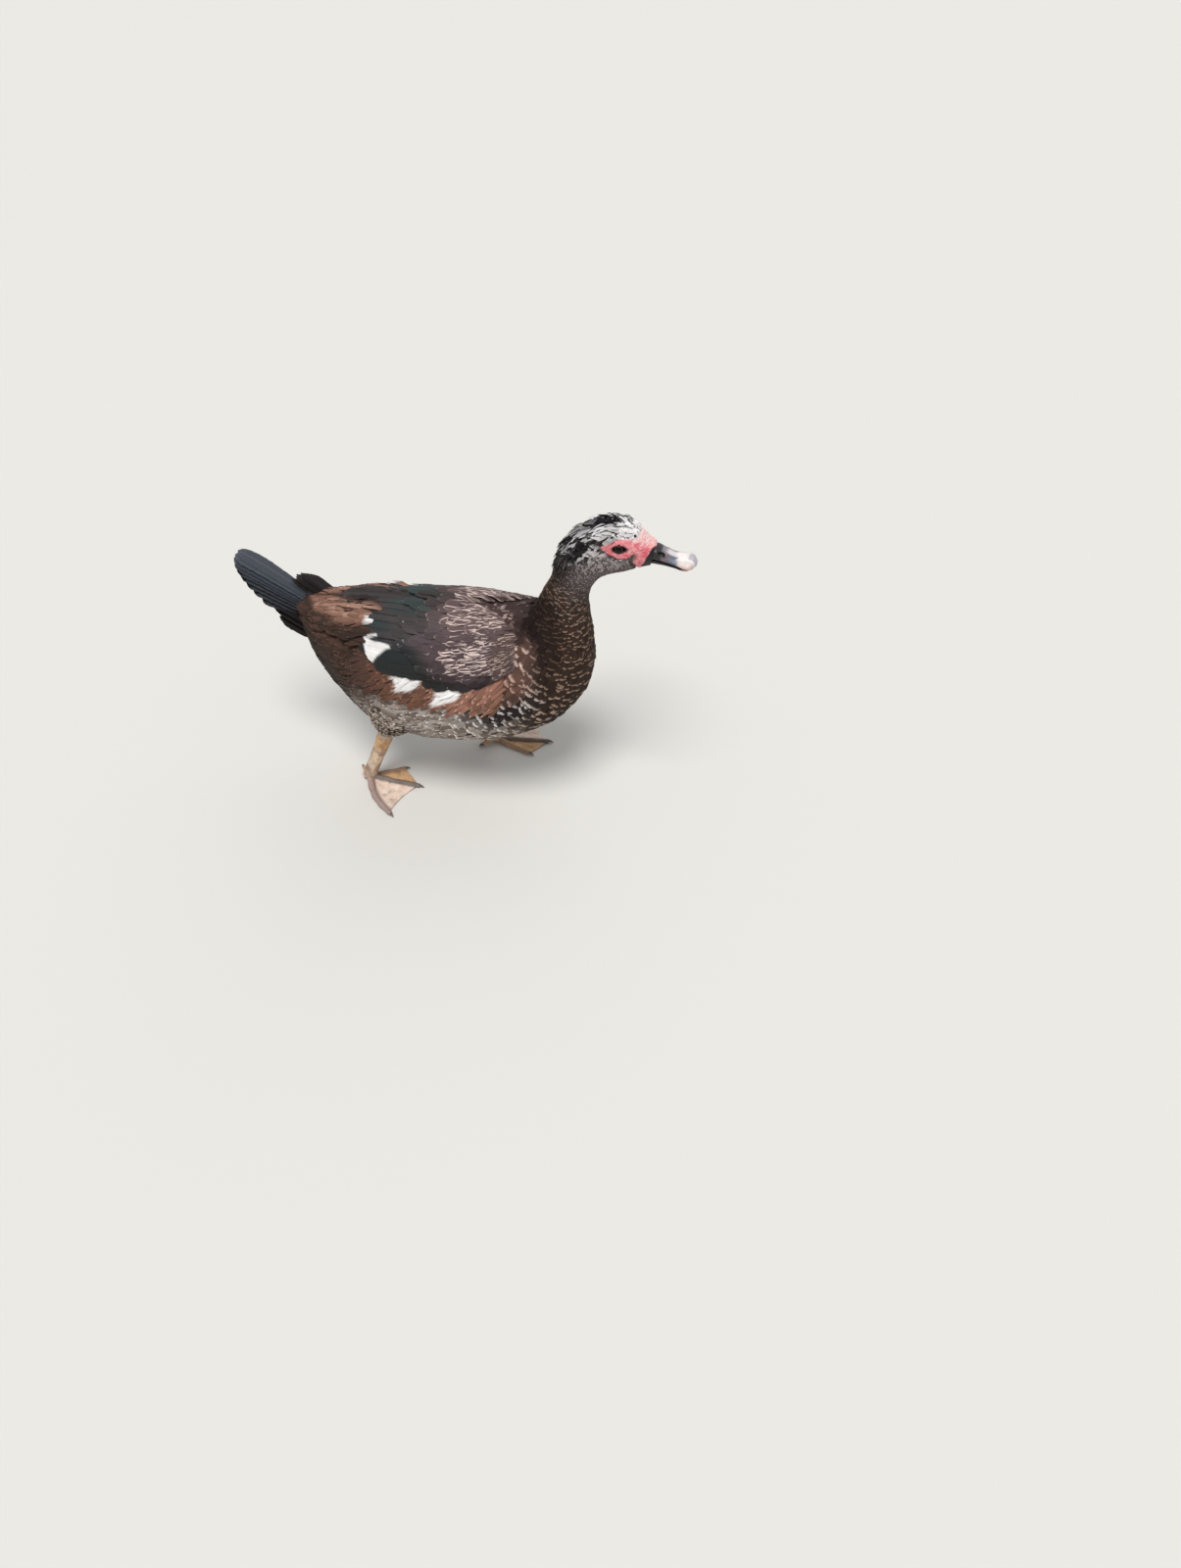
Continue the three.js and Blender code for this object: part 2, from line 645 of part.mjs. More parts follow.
// Legs: each stands on one webbed foot, with its joints as [x, y, z]
const LEGS = {
  right: {
    side: -1,
    hip: [-58, -46, 166],
    ankle: [-88, -51, 88],
    foot: [-121, -49, 9],
    toes: { inner: [-80, -22], middle: [-50, -50], outer: [-71, -109] },
    hallux: [-138, -31],
  },
  left: {
    side: 1,
    hip: [-22, 48, 168],
    ankle: [0, 60, 76],
    foot: [28, 66, 9],
    toes: { inner: [82, 49], middle: [102, 78], outer: [78, 121] },
    hallux: [12, 50],
  },
};

function thigh({ hip, ankle }, grow = 0) {
  const knee = hip.map((h, i) => lerp(h, ankle[i], 0.5));
  const cuff = hip.map((h, i) => lerp(h, ankle[i], 0.93 + grow / 90));
  return limb(
    [
      [...hip, 41 + grow],
      [...knee, 31 + grow],
      [...cuff, 10 + grow],
    ],
    { sides: 16, turns: 4 },
  );
}

function shank({ hip, ankle, foot }) {
  const above = ankle.map((a, i) => lerp(a, hip[i], 0.12));
  const mid = ankle.map((a, i) => lerp(a, foot[i], 0.45));
  const low = ankle.map((a, i) => lerp(a, foot[i], 0.95));
  return limb(
    [
      [...above, 8],
      [...ankle, 9.6],
      [...mid, 8.8],
      [...low, 8.2],
    ],
    { sides: 10, turns: 3 },
  );
}

// The knuckle that the toes spring from.
function footKnuckle({ foot }, grow = 0) {
  const halves = [8.5, 8, 7].map((h) => h + grow);
  return ellipsoid([foot[0], foot[1], foot[2] - 1], halves, { wide: 10, high: 6 });
}

// A place on the floor along a toe from the foot's joint to its tip, bowed towards its outer side.
function alongToe(start, tip, bow, t) {
  const [x, y] = [tip[0] - start[0], tip[1] - start[1]];
  const out = (bow * Math.sin(Math.PI * t)) / Math.hypot(x, y);
  return [start[0] + x * t - y * out, start[1] + y * t + x * out];
}

// One toe from the foot's joint to its tip, with a claw. It swells at every second of its steps.
function toe(start, tip, steps, { bow = 0, wide = 1, grow = 0 } = {}) {
  const path = [];
  const height = (t) => lerp(start[2] - 3, 2.7, Math.min(t * 2.2, 1));
  for (let i = 0; i <= steps; i++) {
    const t = i / steps;
    const swell = i % 2 === 0 ? 1 : 0.84;
    path.push([...alongToe(start, tip, bow, t), height(t), TOE_RADIUS * wide * swell * lerp(1.15, 0.72, t) + grow]);
  }
  const before = alongToe(start, tip, bow, 0.9);
  const [x, y] = [tip[0] - before[0], tip[1] - before[1]];
  const length = Math.hypot(x, y);
  const beyond = (d, z) => [tip[0] + (x / length) * d, tip[1] + (y / length) * d, z];
  const claw = limb([[...beyond(-2, 3.4), 2.4], [...beyond(4, 3.4), 1.9], [...beyond(9, 1.2), 0.6]], { sides: 6, turns: 1 });
  return [limb(path, { sides: 7, turns: 1 }), claw];
}

// The web between two toes, with its free edge drawn in. The second toe may bow outwards.
function web(start, a, b, bow = 0) {
  const shape = new THREE.Shape();
  shape.moveTo(start[0], start[1]);
  shape.lineTo(lerp(start[0], a[0], 0.97), lerp(start[1], a[1], 0.97));
  const pull = 0.88;
  const middle = [lerp(start[0], (a[0] + b[0]) / 2, pull), lerp(start[1], (a[1] + b[1]) / 2, pull)];
  shape.quadraticCurveTo(middle[0], middle[1], ...alongToe(start, b, bow, 0.97));
  for (const t of bow ? [0.7, 0.4] : []) shape.lineTo(...alongToe(start, b, bow, t));
  shape.closePath();
  const geometry = new THREE.ExtrudeGeometry(shape, { depth: WEB_THICKNESS, bevelEnabled: false, curveSegments: 5 });
  return solidOf(geometry.translate(0, 0, 0.8));
}

function foot(leg, grow = 0) {
  const { side, foot: joint, toes, hallux } = leg;
  const bow = side * OUTER_TOE_BOW;
  const hindToe = [
    [...joint, 4 + grow],
    [lerp(joint[0], hallux[0], 0.6), lerp(joint[1], hallux[1], 0.6), 5.6, 3 + grow],
    [...hallux, 2.4, 1.2 + grow],
  ];
  const pieces = [
    ...toe(joint, toes.inner, 4, { grow }),
    ...toe(joint, toes.middle, 4, { grow }),
    ...toe(joint, toes.outer, 6, { bow, wide: 1.15, grow }),
    web(joint, toes.inner, toes.middle),
    web(joint, toes.middle, toes.outer, bow),
    footKnuckle(leg, grow),
    limb(hindToe, { sides: 8, turns: 2 }),
  ];
  const aboveFloor = block([-400, -300, 0], [400, 300, 40]);
  return largest(union(pieces).intersect(aboveFloor));
}

// The bird
const group = new THREE.Group();

function add(name, made, material) {
  const { vertProperties, triVerts, numProp, numVert } = made.getMesh();
  const positions = new Float32Array(numVert * 3);
  for (let i = 0; i < numVert; i++) {
    positions.set(vertProperties.subarray(i * numProp, i * numProp + 3), i * 3);
  }
  const geometry = new THREE.BufferGeometry();
  geometry.setAttribute("position", new THREE.BufferAttribute(positions, 3));
  geometry.setIndex(new THREE.BufferAttribute(triVerts, 1));
  geometry.computeVertexNormals();
  const mesh = new THREE.Mesh(geometry, material);
  mesh.name = name;
  group.add(mesh);
}

const bodyGrown = stretch(FLESH, 0, TORSO_END, { grow: GAP, trim: -GAP });
add("torso", torso(), MATERIALS.feathers);
add("neck", neck(), MATERIALS.feathers);
add("head", head(), MATERIALS.headFeathers);
add("face_mask", faceMask(), MATERIALS.face);
add("bill_upper", upperBill(), MATERIALS.bill);
add("bill_lower", lowerBill(), MATERIALS.bill);
add("tail", tail(), MATERIALS.tail);
for (const [name, leg] of Object.entries(LEGS)) {
  add(`eye_${name}`, eyeball(leg.side, EYE_RADIUS), MATERIALS.eye);
  add(`wing_${name}`, wing(leg.side), MATERIALS.wing);
  add(`thigh_${name}`, largest(thigh(leg).subtract(bodyGrown)), MATERIALS.feathers);
  const shankEnds = union([thigh(leg, GAP), foot(leg, GAP)]);
  add(`shank_${name}`, largest(shank(leg).subtract(shankEnds)), MATERIALS.leg);
  add(`foot_${name}`, foot(leg), MATERIALS.leg);
}

// The origin goes to the middle of the floor under the bird.
const extent = new THREE.Box3().setFromObject(group);
group.position.set(-(extent.min.x + extent.max.x) / 2, -(extent.min.y + extent.max.y) / 2, -extent.min.z);

export default group;
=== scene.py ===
"""A muscovy duck in mid-stride, life-size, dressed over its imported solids.

Shapes are worked out in millimetres in the maker's own frame, where +X is the way the bird faces,
+Y its left side and z = 0 the floor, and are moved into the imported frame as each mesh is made.
"""

import logging
import math
from collections.abc import Sequence
from dataclasses import dataclass, replace
from enum import Enum
from itertools import product
from typing import Any

import bpy
import numpy as np
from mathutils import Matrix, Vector


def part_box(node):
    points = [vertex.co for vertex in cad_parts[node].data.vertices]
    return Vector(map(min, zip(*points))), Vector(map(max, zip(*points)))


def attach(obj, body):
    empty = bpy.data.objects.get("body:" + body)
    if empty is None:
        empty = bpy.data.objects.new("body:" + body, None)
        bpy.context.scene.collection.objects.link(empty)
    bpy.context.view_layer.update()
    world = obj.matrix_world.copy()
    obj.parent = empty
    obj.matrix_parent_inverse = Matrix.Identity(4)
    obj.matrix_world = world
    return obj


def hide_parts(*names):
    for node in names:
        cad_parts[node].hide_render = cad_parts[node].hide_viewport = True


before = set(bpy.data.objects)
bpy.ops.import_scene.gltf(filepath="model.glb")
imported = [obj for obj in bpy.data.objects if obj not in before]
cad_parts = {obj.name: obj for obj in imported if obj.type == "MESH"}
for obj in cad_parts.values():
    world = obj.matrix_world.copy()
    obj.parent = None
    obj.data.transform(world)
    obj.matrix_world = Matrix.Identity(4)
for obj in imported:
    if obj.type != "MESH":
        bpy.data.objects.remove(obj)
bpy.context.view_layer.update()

log = logging.getLogger("duck")

Array = np.ndarray
Piece = bpy.types.Object
Material = bpy.types.Material
Pair = tuple[float, float]
BODY = "root"
UNWRAP = "OFBake"
MOST_TRIANGLES = 185_000
CREASE = 60.0
SMOOTH = 180.0


class Side(Enum):
    """The two sides of the bird, as the sign of Y."""

    LEFT = 1
    RIGHT = -1

    @property
    def word(self) -> str:
        """The side's name as the solids use it."""
        return self.name.lower()


# Small mathematics


def paint(code: int) -> Array:
    """A colour from its screen code, such as 0xC8454B, as linear light."""
    screen = np.array([(code >> shift) & 255 for shift in (16, 8, 0)]) / 255
    return np.where(screen <= 0.04045, screen / 12.92, ((screen + 0.055) / 1.055) ** 2.4)


def ease(value: Array | float, low: float, high: float) -> Array:
    """A smooth step from 0 at low to 1 at high, which may lie either way round."""
    t = np.clip((np.asarray(value, float) - low) / (high - low), 0, 1)
    return t * t * (3 - 2 * t)


def unit(vectors: Array) -> Array:
    """Vectors brought to length 1."""
    return vectors / np.maximum(np.linalg.norm(vectors, axis=-1, keepdims=True), 1e-9)


def blend(a: Array, b: Array, share: Array) -> Array:
    """A mix of two arrays of colours by a share with one number a row."""
    return a + (b - a) * np.asarray(share)[..., None]


def between(ends: Sequence[Any], t: Array | float) -> Array:
    """A place between two others, or between two numbers."""
    first, last = np.array(ends, float)
    return first + (last - first) * t


def rings_of(stations: Array, sides: int, start: float = 0.0) -> tuple[Array, Array]:
    """Stations and degrees of rings with evenly set points, the first of them at start."""
    return tuple(np.meshgrid(stations, np.arange(sides) * 360 / sides + start, indexing="ij"))


def rounded(ring: Array, reach: Array, shares: Sequence[float]) -> Array:
    """Rings that close an end like a dome.

    Args:
        ring: The last ring.
        reach: The way from its middle to the top of the dome.
        shares: How far towards the top each new ring lies.

    Returns:
        The new rings, in the order of the shares.
    """
    middle = ring.mean(0)
    return np.array([middle + (ring - middle) * math.sqrt(1 - s**2) + reach * s for s in shares])


def layered(ground: Array, *coats: tuple[int, Array]) -> Array:
    """A colour with coats of paint over it.

    Args:
        ground: The colour underneath.
        coats: The screen code of each coat in turn, and how far it covers.

    Returns:
        The colour that results.
    """
    for code, share in coats:
        ground = blend(ground, paint(code), share)
    return ground


def read_along(table: Array, u: Array) -> Array:
    """Reads a table's rows along a smooth curve.

    Args:
        table: One row of numbers for each station.
        u: Places along the stations, of any shape.

    Returns:
        The numbers at u, with one more axis than u.
    """
    last = len(table) - 1
    i = np.clip(np.floor(u).astype(int), 0, last - 1)
    t = (u - i)[..., None]
    a, b, c, d = (table[np.clip(i + k, 0, last)] for k in (-1, 0, 1, 2))
    return b + 0.5 * t * (c - a + t * (2 * a - 5 * b + 4 * c - d + t * (3 * (b - c) + d - a)))


class Grain:
    """Smooth and cellular patterns in space, the same on every run."""

    def __init__(self, seed: int) -> None:
        """Draws the numbers that the patterns read."""
        self.table = np.random.default_rng(seed).random((4096, 3))

    def _draw(self, cells: Array) -> Array:
        """Three numbers from 0 to 1 for each cell."""
        key = cells[..., 0] * 73 + cells[..., 1] * 1979 + cells[..., 2] * 3571
        return self.table[key % 4096]

    def smooth(self, points: Array, size: float) -> Array:
        """Soft noise from -1 to 1.

        Args:
            points: Places in millimetres.
            size: The size of one blotch in millimetres.

        Returns:
            One number for each place.
        """
        scaled = points / size
        cell = np.floor(scaled).astype(int)
        part = scaled - cell
        part = part * part * (3 - 2 * part)
        total = np.zeros(points.shape[:-1])
        for corner in product((0, 1), repeat=3):
            weight = np.prod(np.where(corner, part, 1 - part), axis=-1)
            total += weight * self._draw(cell + np.array(corner))[..., 0]
        return total * 2 - 1

    def bumps(self, points: Array, size: float) -> Array:
        """Rounded bumps set close: 1 in the middle of each and 0 in the creases between.

        Args:
            points: Places in millimetres.
            size: The usual distance between bumps in millimetres.

        Returns:
            One number for each place.
        """
        scaled = points / size
        cell = np.floor(scaled).astype(int)
        first = np.full(points.shape[:-1], 9.0)
        second = first.copy()
        for step in product((-1, 0, 1), repeat=3):
            near = cell + np.array(step)
            distance = np.linalg.norm(scaled - near - 0.15 - 0.7 * self._draw(near), axis=-1)
            second = np.minimum(second, np.maximum(first, distance))
            first = np.minimum(first, distance)
        return ease(second - first, 0.0, 0.45)


GRAIN = Grain(11)


# Shapes that feathers and skin are laid on


# How far to either side, in stations, a form is read to find its slope
NEAR = 0.05
# About how many millimetres one station and one degree come to on the body
STATION_SIZE = 45.0
DEGREE_SIZE = 1.4


@dataclass(frozen=True)
class Station:
    """One cross-section of a form: its two midline points [x, z], half width, and sag of its widest place."""

    back: Pair
    belly: Pair
    half: float
    low: float = 0.0


class Surface:
    """A form that is read at a station along it and an angle round it."""

    length: float
    unwrap_corner: Pair = (0.01, 0.01)
    unwrap_size: Pair = (0.98, 0.86)

    def place(self, u: Array, degrees: Array) -> Array:
        """The point at a station and an angle. Each kind of surface has its own."""
        raise NotImplementedError

    def steps(self, u: Array, degrees: Array) -> tuple[Array, Array]:
        """How the point moves, in millimetres, for one station and for one degree."""
        ahead = self.place(u + 0.02, degrees) - self.place(u - 0.02, degrees)
        round_ = self.place(u, degrees + 1.5) - self.place(u, degrees - 1.5)
        return ahead / 0.04, round_ / 3.0

    def outward(self, u: Array, degrees: Array) -> Array:
        """The outward direction."""
        ahead, round_ = self.steps(u, degrees)
        return unit(np.cross(ahead, round_))

    def raised(self, u: Array, degrees: Array, height: Array | float) -> Array:
        """The point at a height above the surface, square to it."""
        return self.place(u, degrees) + self.outward(u, degrees) * np.asarray(height)[..., None]

    def unwrap(self, u: Array, degrees: Array) -> Array:
        """Where a place lies on the flat map of the skin."""
        (x, y), (width, height) = self.unwrap_corner, self.unwrap_size
        turn = np.asarray(degrees) / 360 + 0.5
        return np.stack([x + width * np.clip(u / self.length, 0, 1), y + height * turn], -1)


class Form(Surface):
    """A form lofted through stations, with angle 0 on top, 90 on the left and -90 on the right."""

    def __init__(self, stations: Sequence[Station]) -> None:
        """Keeps the stations as rows of numbers."""
        self.table = np.array([[*s.back, *s.belly, s.half, s.low] for s in stations], float)
        self.length = len(stations) - 1

    def place(self, u: Array, degrees: Array) -> Array:
        """The point at a station and an angle, carried straight on beyond the ends.

        Args:
            u: Stations.
            degrees: Degrees round the form.

        Returns:
            The points in millimetres.
        """
        u, degrees = np.broadcast_arrays(np.asarray(u, float), np.asarray(degrees, float))
        inside = np.clip(u, 0, self.length)
        point = self._inside(inside, degrees)
        over = u - inside
        if np.any(over):
            near = np.clip(inside, NEAR, self.length - NEAR)
            ahead, behind = (self._inside(near + step, degrees) for step in (NEAR, -NEAR))
            point = point + (ahead - behind) / (2 * NEAR) * over[..., None]
        return point

    def _inside(self, u: Array, degrees: Array) -> Array:
        """The point at a station that the form has."""
        back_x, back_z, belly_x, belly_z, half, low = np.moveaxis(read_along(self.table, u), -1, 0)
        middle_x, middle_z = (back_x + belly_x) / 2, (back_z + belly_z) / 2
        a = np.radians(degrees)
        height = np.cos(a) + low * np.sin(a) ** 2
        x = middle_x + (back_x - middle_x) * height
        z = middle_z + (back_z - middle_z) * height
        return np.stack([x, half * np.sin(a), z], -1)


class Tube(Surface):
    """A tapering limb along [x, y, z, radius] places."""

    def __init__(self, path: Sequence[Sequence[float]]) -> None:
        """Keeps the path as rows of numbers."""
        self.table = np.array(path, float)
        self.length = len(path) - 1

    def axis(self, u: Array) -> tuple[Array, Array, Array, Array]:
        """The middle, the radius and the two directions across the limb."""
        row = read_along(self.table, np.clip(u, 0, self.length))
        after, before = (read_along(self.table, np.clip(u + step, 0, self.length)) for step in (NEAR, -NEAR))
        ahead = unit(after[..., :3] - before[..., :3])
        middle = row[..., :3] + ahead * (u - np.clip(u, 0, self.length))[..., None] * 20
        across = unit(np.cross(np.broadcast_to([0.35, 0.0, 1.0], ahead.shape), ahead))
        return middle, row[..., 3], across, np.cross(ahead, across)

    def place(self, u: Array, degrees: Array, grow: Array | float = 0.0) -> Array:
        """The point at a place along the limb and an angle round it."""
        u, degrees = np.broadcast_arrays(np.asarray(u, float), np.asarray(degrees, float))
        middle, radius, across, up = self.axis(u)
        a = np.radians(degrees)[..., None]
        return middle + (across * np.cos(a) + up * np.sin(a)) * (radius + grow)[..., None]


BIRD = Form(
    [
        Station((-186, 264), (-190, 226), 25),
        Station((-158, 268), (-177, 182), 42),
        Station((-120, 274), (-144, 140), 62, -0.05),
        Station((-70, 280), (-104, 104), 77, -0.1),
        Station((-15, 284), (-46, 90), 85, -0.12),
        Station((35, 286), (12, 93), 87, -0.12),
        Station((78, 289), (75, 107), 84, -0.1),
        Station((104, 294), (138, 138), 76, -0.05),
        Station((114, 302), (175, 180), 62),
        Station((119, 311), (187, 222), 48),
        Station((124, 322), (186, 262), 37),
        Station((131, 337), (182, 298), 30),
        Station((138, 352), (180, 322), 26.5),
        Station((142, 372), (184, 340), 26),
        Station((153, 397), (191, 353), 27.5),
        Station((176, 421), (199, 363), 29, -0.1),
        Station((203, 434), (210, 370), 28.5, -0.15),
        Station((231, 433), (227, 375), 24, -0.1),
        Station((250, 418), (244, 382), 17.5),
        Station((261, 409), (255, 386), 13),
    ]
)
UPPER_BILL = Form(
    [
        Station((256, 413), (254, 397), 13.0, -0.4),
        Station((262.4, 410.5), (258.9, 396), 12.8, -0.4),
        Station((272, 406), (271, 394.8), 12.4, -0.45),
        Station((283, 401.4), (283, 392.8), 13, -0.5),
        Station((293, 400.4), (293, 391.6), 15.8, -0.5),
        Station((299, 400.8), (299, 391), 16.6, -0.5),
        Station((302.8, 400.4), (302.6, 390.4), 15.2, -0.5),
        Station((305.2, 399), (304.8, 390), 11.4, -0.45),
        Station((306.8, 396.6), (306.4, 390), 6.0, -0.4),
    ]
)
LOWER_BILL = Form(
    [
        Station((254, 395.8), (252, 388), 11.6, 0.45),
        Station((258.7, 395.4), (256.8, 388.2), 11.4, 0.45),
        Station((271, 394.2), (270, 387.2), 10.8, 0.45),
        Station((283, 392.2), (282.5, 386), 11.2, 0.45),
        Station((293, 391.2), (292.5, 385), 13.6, 0.45),
        Station((298.5, 390.6), (298, 385.6), 13.2, 0.45),
        Station((302, 390.2), (301.5, 386.6), 9.6, 0.4),
        Station((304, 390), (303.6, 387.6), 5.0, 0.4),
    ]
)
EYE_STATION = 16.66
EYE_ANGLE = 66.0
EYE_DEPTH = 4.6
EYE_RADIUS = 7.2


def eye_middle(side: Side) -> tuple[Array, Array]:
    """The middle of an eyeball and the way the eye looks."""
    u, degrees = np.array(EYE_STATION), np.array(side.value * EYE_ANGLE)
    out = BIRD.outward(u, degrees)
    return BIRD.place(u, degrees) - out * EYE_DEPTH, out


def find_shift() -> Array:
    """What to take from the maker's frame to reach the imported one, read from where the eye went."""
    low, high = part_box("eye_left")
    return eye_middle(Side.LEFT)[0] - (np.array(low) + np.array(high)) * 500


SHIFT = find_shift()


# Meshes


@dataclass
class Shell:
    """Closed tubes of one size, gathered until they are made into a mesh.

    Attributes:
        tubes: Points as tubes, rings and places round a ring.
        fields: Numbers for each point, by name, with the same leading axes.
        flat: Each point's place on the flat map.
    """

    tubes: Array
    fields: dict[str, Array]
    flat: Array

    @property
    def triangles(self) -> int:
        """How many triangles the tubes come to."""
        count, rings, sides = self.tubes.shape[:3]
        return count * (2 * (rings - 1) * sides + 2 * (sides - 2))


def one_tube(points: Array, flat: Array, **fields: Array) -> Shell:
    """A shell of a single tube from its rings."""
    return Shell(points[None], {name: values[None] for name, values in fields.items()}, flat[None])


def write_fields(mesh: bpy.types.Mesh, fields: dict[str, Array]) -> None:
    """Stores numbers on a mesh's points: three columns named after a colour are one, others are vectors.

    Args:
        mesh: The mesh.
        fields: One row for each point, by name.
    """
    for name, values in fields.items():
        kind, key = ("FLOAT", "value") if values.ndim == 1 else ("FLOAT_VECTOR", "vector")
        if name.endswith("colour"):
            kind, key = "FLOAT_COLOR", "color"
            values = np.concatenate([values, np.ones((len(values), 1))], axis=1)
        layer = mesh.attributes.new(name, kind, "POINT")
        layer.data.foreach_set(key, values.astype(np.float32).ravel())


def add_object(name: str, data: bpy.types.ID) -> Piece:
    """Adds an object to the scene."""
    made = bpy.data.objects.new(name, data)
    bpy.context.scene.collection.objects.link(made)
    return made


def worked_out(piece: Piece) -> bpy.types.Mesh:
    """The mesh that a piece's modifiers come to."""
    graph = bpy.context.evaluated_depsgraph_get()
    return bpy.data.meshes.new_from_object(piece.evaluated_get(graph))


def make_piece(
    name: str,
    points: Array,
    corners: Array,
    starts: Array,
    fields: dict[str, Array],
    flat: Array,
    material: Material | None = None,
    crease: float = CREASE,
) -> Piece:
    """Makes one object from points in the maker's frame.

    Args:
        name: The piece's name.
        points: One row of x, y, z for each point, in millimetres.
        corners: The point of each face corner.
        starts: The first corner of each face.
        fields: Numbers to keep for each point, by name.
        flat: Each corner's place on the flat map.
        material: Its finish, if it has one yet.
        crease: The angle in degrees from which an edge stays sharp.

    Returns:
        The new object, linked to the scene.
    """
    mesh = bpy.data.meshes.new(name)
    mesh.vertices.add(len(points))
    mesh.vertices.foreach_set("co", ((points - SHIFT) / 1000).astype(np.float32).ravel())
    mesh.loops.add(len(corners))
    mesh.loops.foreach_set("vertex_index", corners.astype(np.int32))
    mesh.polygons.add(len(starts))
    mesh.polygons.foreach_set("loop_start", starts.astype(np.int32))
    mesh.update(calc_edges=True)
    write_fields(mesh, fields)
    layer = mesh.uv_layers.new(name=UNWRAP)
    layer.data.foreach_set("uv", flat.astype(np.float32).ravel())
    if material:
        mesh.materials.append(material)
    mesh.shade_smooth()
    mesh.set_sharp_from_angle(angle=math.radians(crease))
    mesh.validate()
    return add_object(name, mesh)


def tube_corners(count: int, rings: int, sides: int) -> tuple[Array, Array]:
    """The faces of closed tubes: four-sided walls and one flat face at each end.

    Args:
        count: How many tubes there are.
        rings: How many rings each has.
        sides: How many points each ring has.

    Returns:
        The point of each face corner, and the first corner of each face.
    """
    r, k = np.meshgrid(np.arange(rings - 1), np.arange(sides), indexing="ij")
    here = r * sides + k
    beside = r * sides + (k + 1) % sides
    walls = np.stack([here, beside, beside + sides, here + sides], -1).reshape(-1)
    first_end = np.arange(sides)[::-1]
    last_end = (rings - 1) * sides + np.arange(sides)
    one = np.concatenate([walls, first_end, last_end])
    corners = (one[None, :] + (np.arange(count) * rings * sides)[:, None]).reshape(-1)
    wall_count = (rings - 1) * sides
    one_starts = np.concatenate([np.arange(wall_count) * 4, [wall_count * 4, wall_count * 4 + sides]])
    starts = (one_starts[None, :] + (np.arange(count) * len(one))[:, None]).reshape(-1)
    return corners, starts


def make_shells(
    name: str,
    shells: Sequence[Shell],
    material: Material | None = None,
    crease: float = CREASE,
) -> Piece:
    """Joins shells into one object.

    Args:
        name: The piece's name.
        shells: What it is made of.
        material: Its finish, if it has one yet.
        crease: The angle in degrees from which an edge stays sharp.

    Returns:
        The new object.
    """
    points, flats, corner_rows, start_rows = [], [], [], []
    fields: dict[str, list[Array]] = {key: [] for key in shells[0].fields}
    point_count = 0
    corner_count = 0
    for shell in shells:
        count, rings, sides = shell.tubes.shape[:3]
        corners, starts = tube_corners(count, rings, sides)
        points.append(shell.tubes.reshape(-1, 3))
        flats.append(shell.flat.reshape(-1, 2)[corners])
        corner_rows.append(corners + point_count)
        start_rows.append(starts + corner_count)
        for key, values in shell.fields.items():
            fields[key].append(values.reshape(-1, *values.shape[3:]))
        point_count += count * rings * sides
        corner_count += len(corners)
    joined = {key: np.concatenate(values) for key, values in fields.items()}
    rows = [np.concatenate(r) for r in (points, corner_rows, start_rows)]
    return make_piece(name, *rows, joined, np.concatenate(flats), material, crease)


def split_shells(shells: Sequence[Shell]) -> list[list[Shell]]:
    """Shares shells out so that no share has too many triangles for one piece.

    Args:
        shells: All the shells, in order.

    Returns:
        The shells of each share.
    """
    shares: list[list[Shell]] = [[]]
    held = 0
    for shell in shells:
        each = shell.triangles / len(shell.tubes)
        start = 0
        while start < len(shell.tubes):
            room = int((MOST_TRIANGLES - held) // each)
            if room < 1:
                shares.append([])
                held = 0
                continue
            part = slice(start, start + room)
            fields = {key: values[part] for key, values in shell.fields.items()}
            shares[-1].append(Shell(shell.tubes[part], fields, shell.flat[part]))
            held += int(len(shell.tubes[part]) * each)
            start += room
    return shares


# Finishes


class Wire:
    """A node's output that can be used in sums; each sum adds its Math nodes."""

    def __init__(self, graph: "Graph", socket: bpy.types.NodeSocket) -> None:
        """Keeps the socket and the graph that it belongs to."""
        self.graph = graph
        self.socket = socket

    def __add__(self, other: "Wire | float") -> "Wire":
        """This value plus another."""
        return self.graph.sum("ADD", self, other)

    def __radd__(self, other: float) -> "Wire":
        """A number plus this value."""
        return self.graph.sum("ADD", other, self)

    def __sub__(self, other: "Wire | float") -> "Wire":
        """This value less another."""
        return self.graph.sum("SUBTRACT", self, other)

    def __rsub__(self, other: float) -> "Wire":
        """A number less this value."""
        return self.graph.sum("SUBTRACT", other, self)

    def __mul__(self, other: "Wire | float") -> "Wire":
        """This value times another."""
        return self.graph.sum("MULTIPLY", self, other)

    def __rmul__(self, other: float) -> "Wire":
        """A number times this value."""
        return self.graph.sum("MULTIPLY", other, self)

    def __abs__(self) -> "Wire":
        """This value without its sign."""
        return self.graph.sum("ABSOLUTE", self)

    def most(self, other: "Wire | float") -> "Wire":
        """The larger of this value and another."""
        return self.graph.sum("MAXIMUM", self, other)

    def ease(self, low: "Wire | float", high: "Wire | float") -> "Wire":
        """A smooth step of this value from 0 at low to 1 at high."""
        inputs = {"Value": self, "From Min": low, "From Max": high}
        return self.graph.node("ShaderNodeMapRange", {"interpolation_type": "SMOOTHSTEP"}, inputs)


